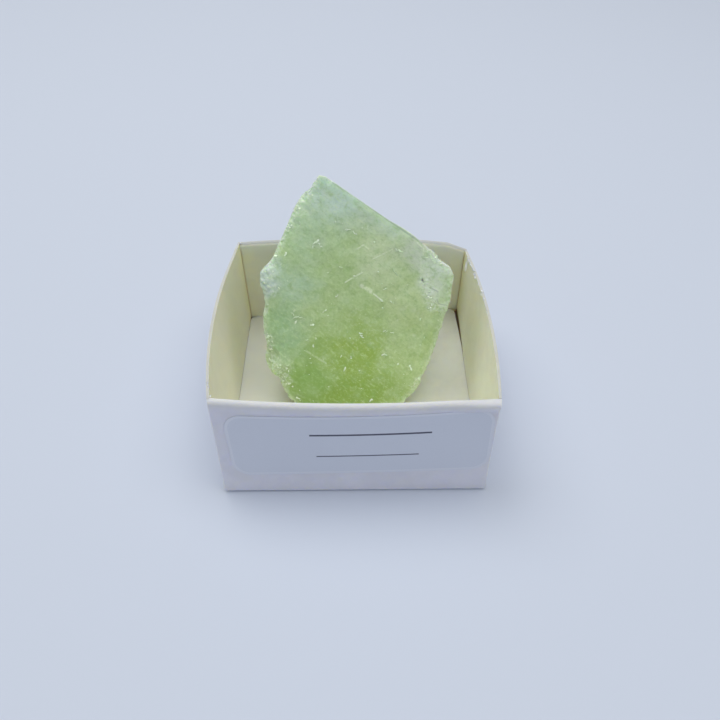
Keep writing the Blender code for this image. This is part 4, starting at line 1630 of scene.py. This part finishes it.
class CALCITE_OT_label(bpy.types.Operator):
    """Stick the blank ruled label on the front wall"""

    bl_idname = "calcite.label"
    bl_label = "Label"

    def execute(self, context):
        settings = context.scene.calcite_label
        label = sticker(settings)
        shade_smooth(label)
        paper = label_material("label paper", tuple(settings.paper), tuple(settings.ink))
        # The paler lip paints a highlight along the sticker's edge
        pale = label_material("label border", tuple(settings.border), tuple(settings.ink))
        dress(label, "label_paper", paper, pale)
        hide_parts("label")
        return {"FINISHED"}


class CALCITE_OT_stage(bpy.types.Operator):
    """Set up the pale floor, the soft light and the camera"""

    bl_idname = "calcite.stage"
    bl_label = "Stage"

    def execute(self, context):
        settings = context.scene.calcite_stage
        floor = add_plane("floor", FLOOR_SIZE)
        recipe = Recipe("pale floor", FLOOR_ROUGHNESS)
        floor.data.materials.append(recipe.finish(Base_Color=tuple(settings.floor)))

        world = bpy.data.worlds.new("soft sky")
        world.use_nodes = True
        background = world.node_tree.nodes["Background"]
        background.inputs["Color"].default_value = SKY_COLOUR
        background.inputs["Strength"].default_value = settings.sky
        context.scene.world = world

        soft_light("key light", *KEY_PLACE, settings.key, WARM_LIGHT)
        for name, bearing, height, power, colour in FILLS:
            soft_light(name, bearing, height, power * settings.fill, colour)

        camera = add_object("camera", bpy.data.cameras.new("camera"))
        camera.data.lens = CAMERA_LENS
        camera.data.sensor_width = CAMERA_SENSOR
        camera.data.clip_start = CAMERA_NEAR
        camera.location = CAMERA_PLACE
        camera.rotation_euler = CAMERA_TURN
        context.scene.camera = camera
        context.scene.view_settings.view_transform = "Standard"
        return {"FINISHED"}


class CALCITE_PT_panel(bpy.types.Panel):
    bl_label = "Calcite specimen"
    bl_idname = "CALCITE_PT_panel"
    bl_space_type = "VIEW_3D"
    bl_region_type = "UI"
    bl_category = "Calcite"

    def draw(self, context):
        for group, _, operator in GROUPS:
            column = self.layout.column(align=True)
            column.operator(operator.bl_idname)
            settings = getattr(context.scene, group)
            for name in settings.__annotations__:
                column.prop(settings, name)


# Each group of settings: its name in the scene, its class and the operator that reads it
GROUPS = (
    ("calcite_stone", StoneSettings, CALCITE_OT_stone),
    ("calcite_chips", ChipSettings, CALCITE_OT_chips),
    ("calcite_tray", TraySettings, CALCITE_OT_tray),
    ("calcite_scraps", ScrapSettings, CALCITE_OT_scraps),
    ("calcite_label", LabelSettings, CALCITE_OT_label),
    ("calcite_stage", StageSettings, CALCITE_OT_stage),
)
CLASSES = (*(item for _, *pair in GROUPS for item in pair), CALCITE_PT_panel)


def register():
    for item in CLASSES:
        bpy.utils.register_class(item)
    for name, group, _ in GROUPS:
        setattr(bpy.types.Scene, name, PointerProperty(type=group))


def unregister():
    for name, _, _ in GROUPS:
        delattr(bpy.types.Scene, name)
    for item in reversed(CLASSES):
        bpy.utils.unregister_class(item)


def main():
    register()
    bpy.ops.calcite.stone()
    bpy.ops.calcite.chips()
    bpy.ops.calcite.tray()
    bpy.ops.calcite.scraps()
    bpy.ops.calcite.label()
    bpy.ops.calcite.stage()


if __name__ == "__main__":
    main()
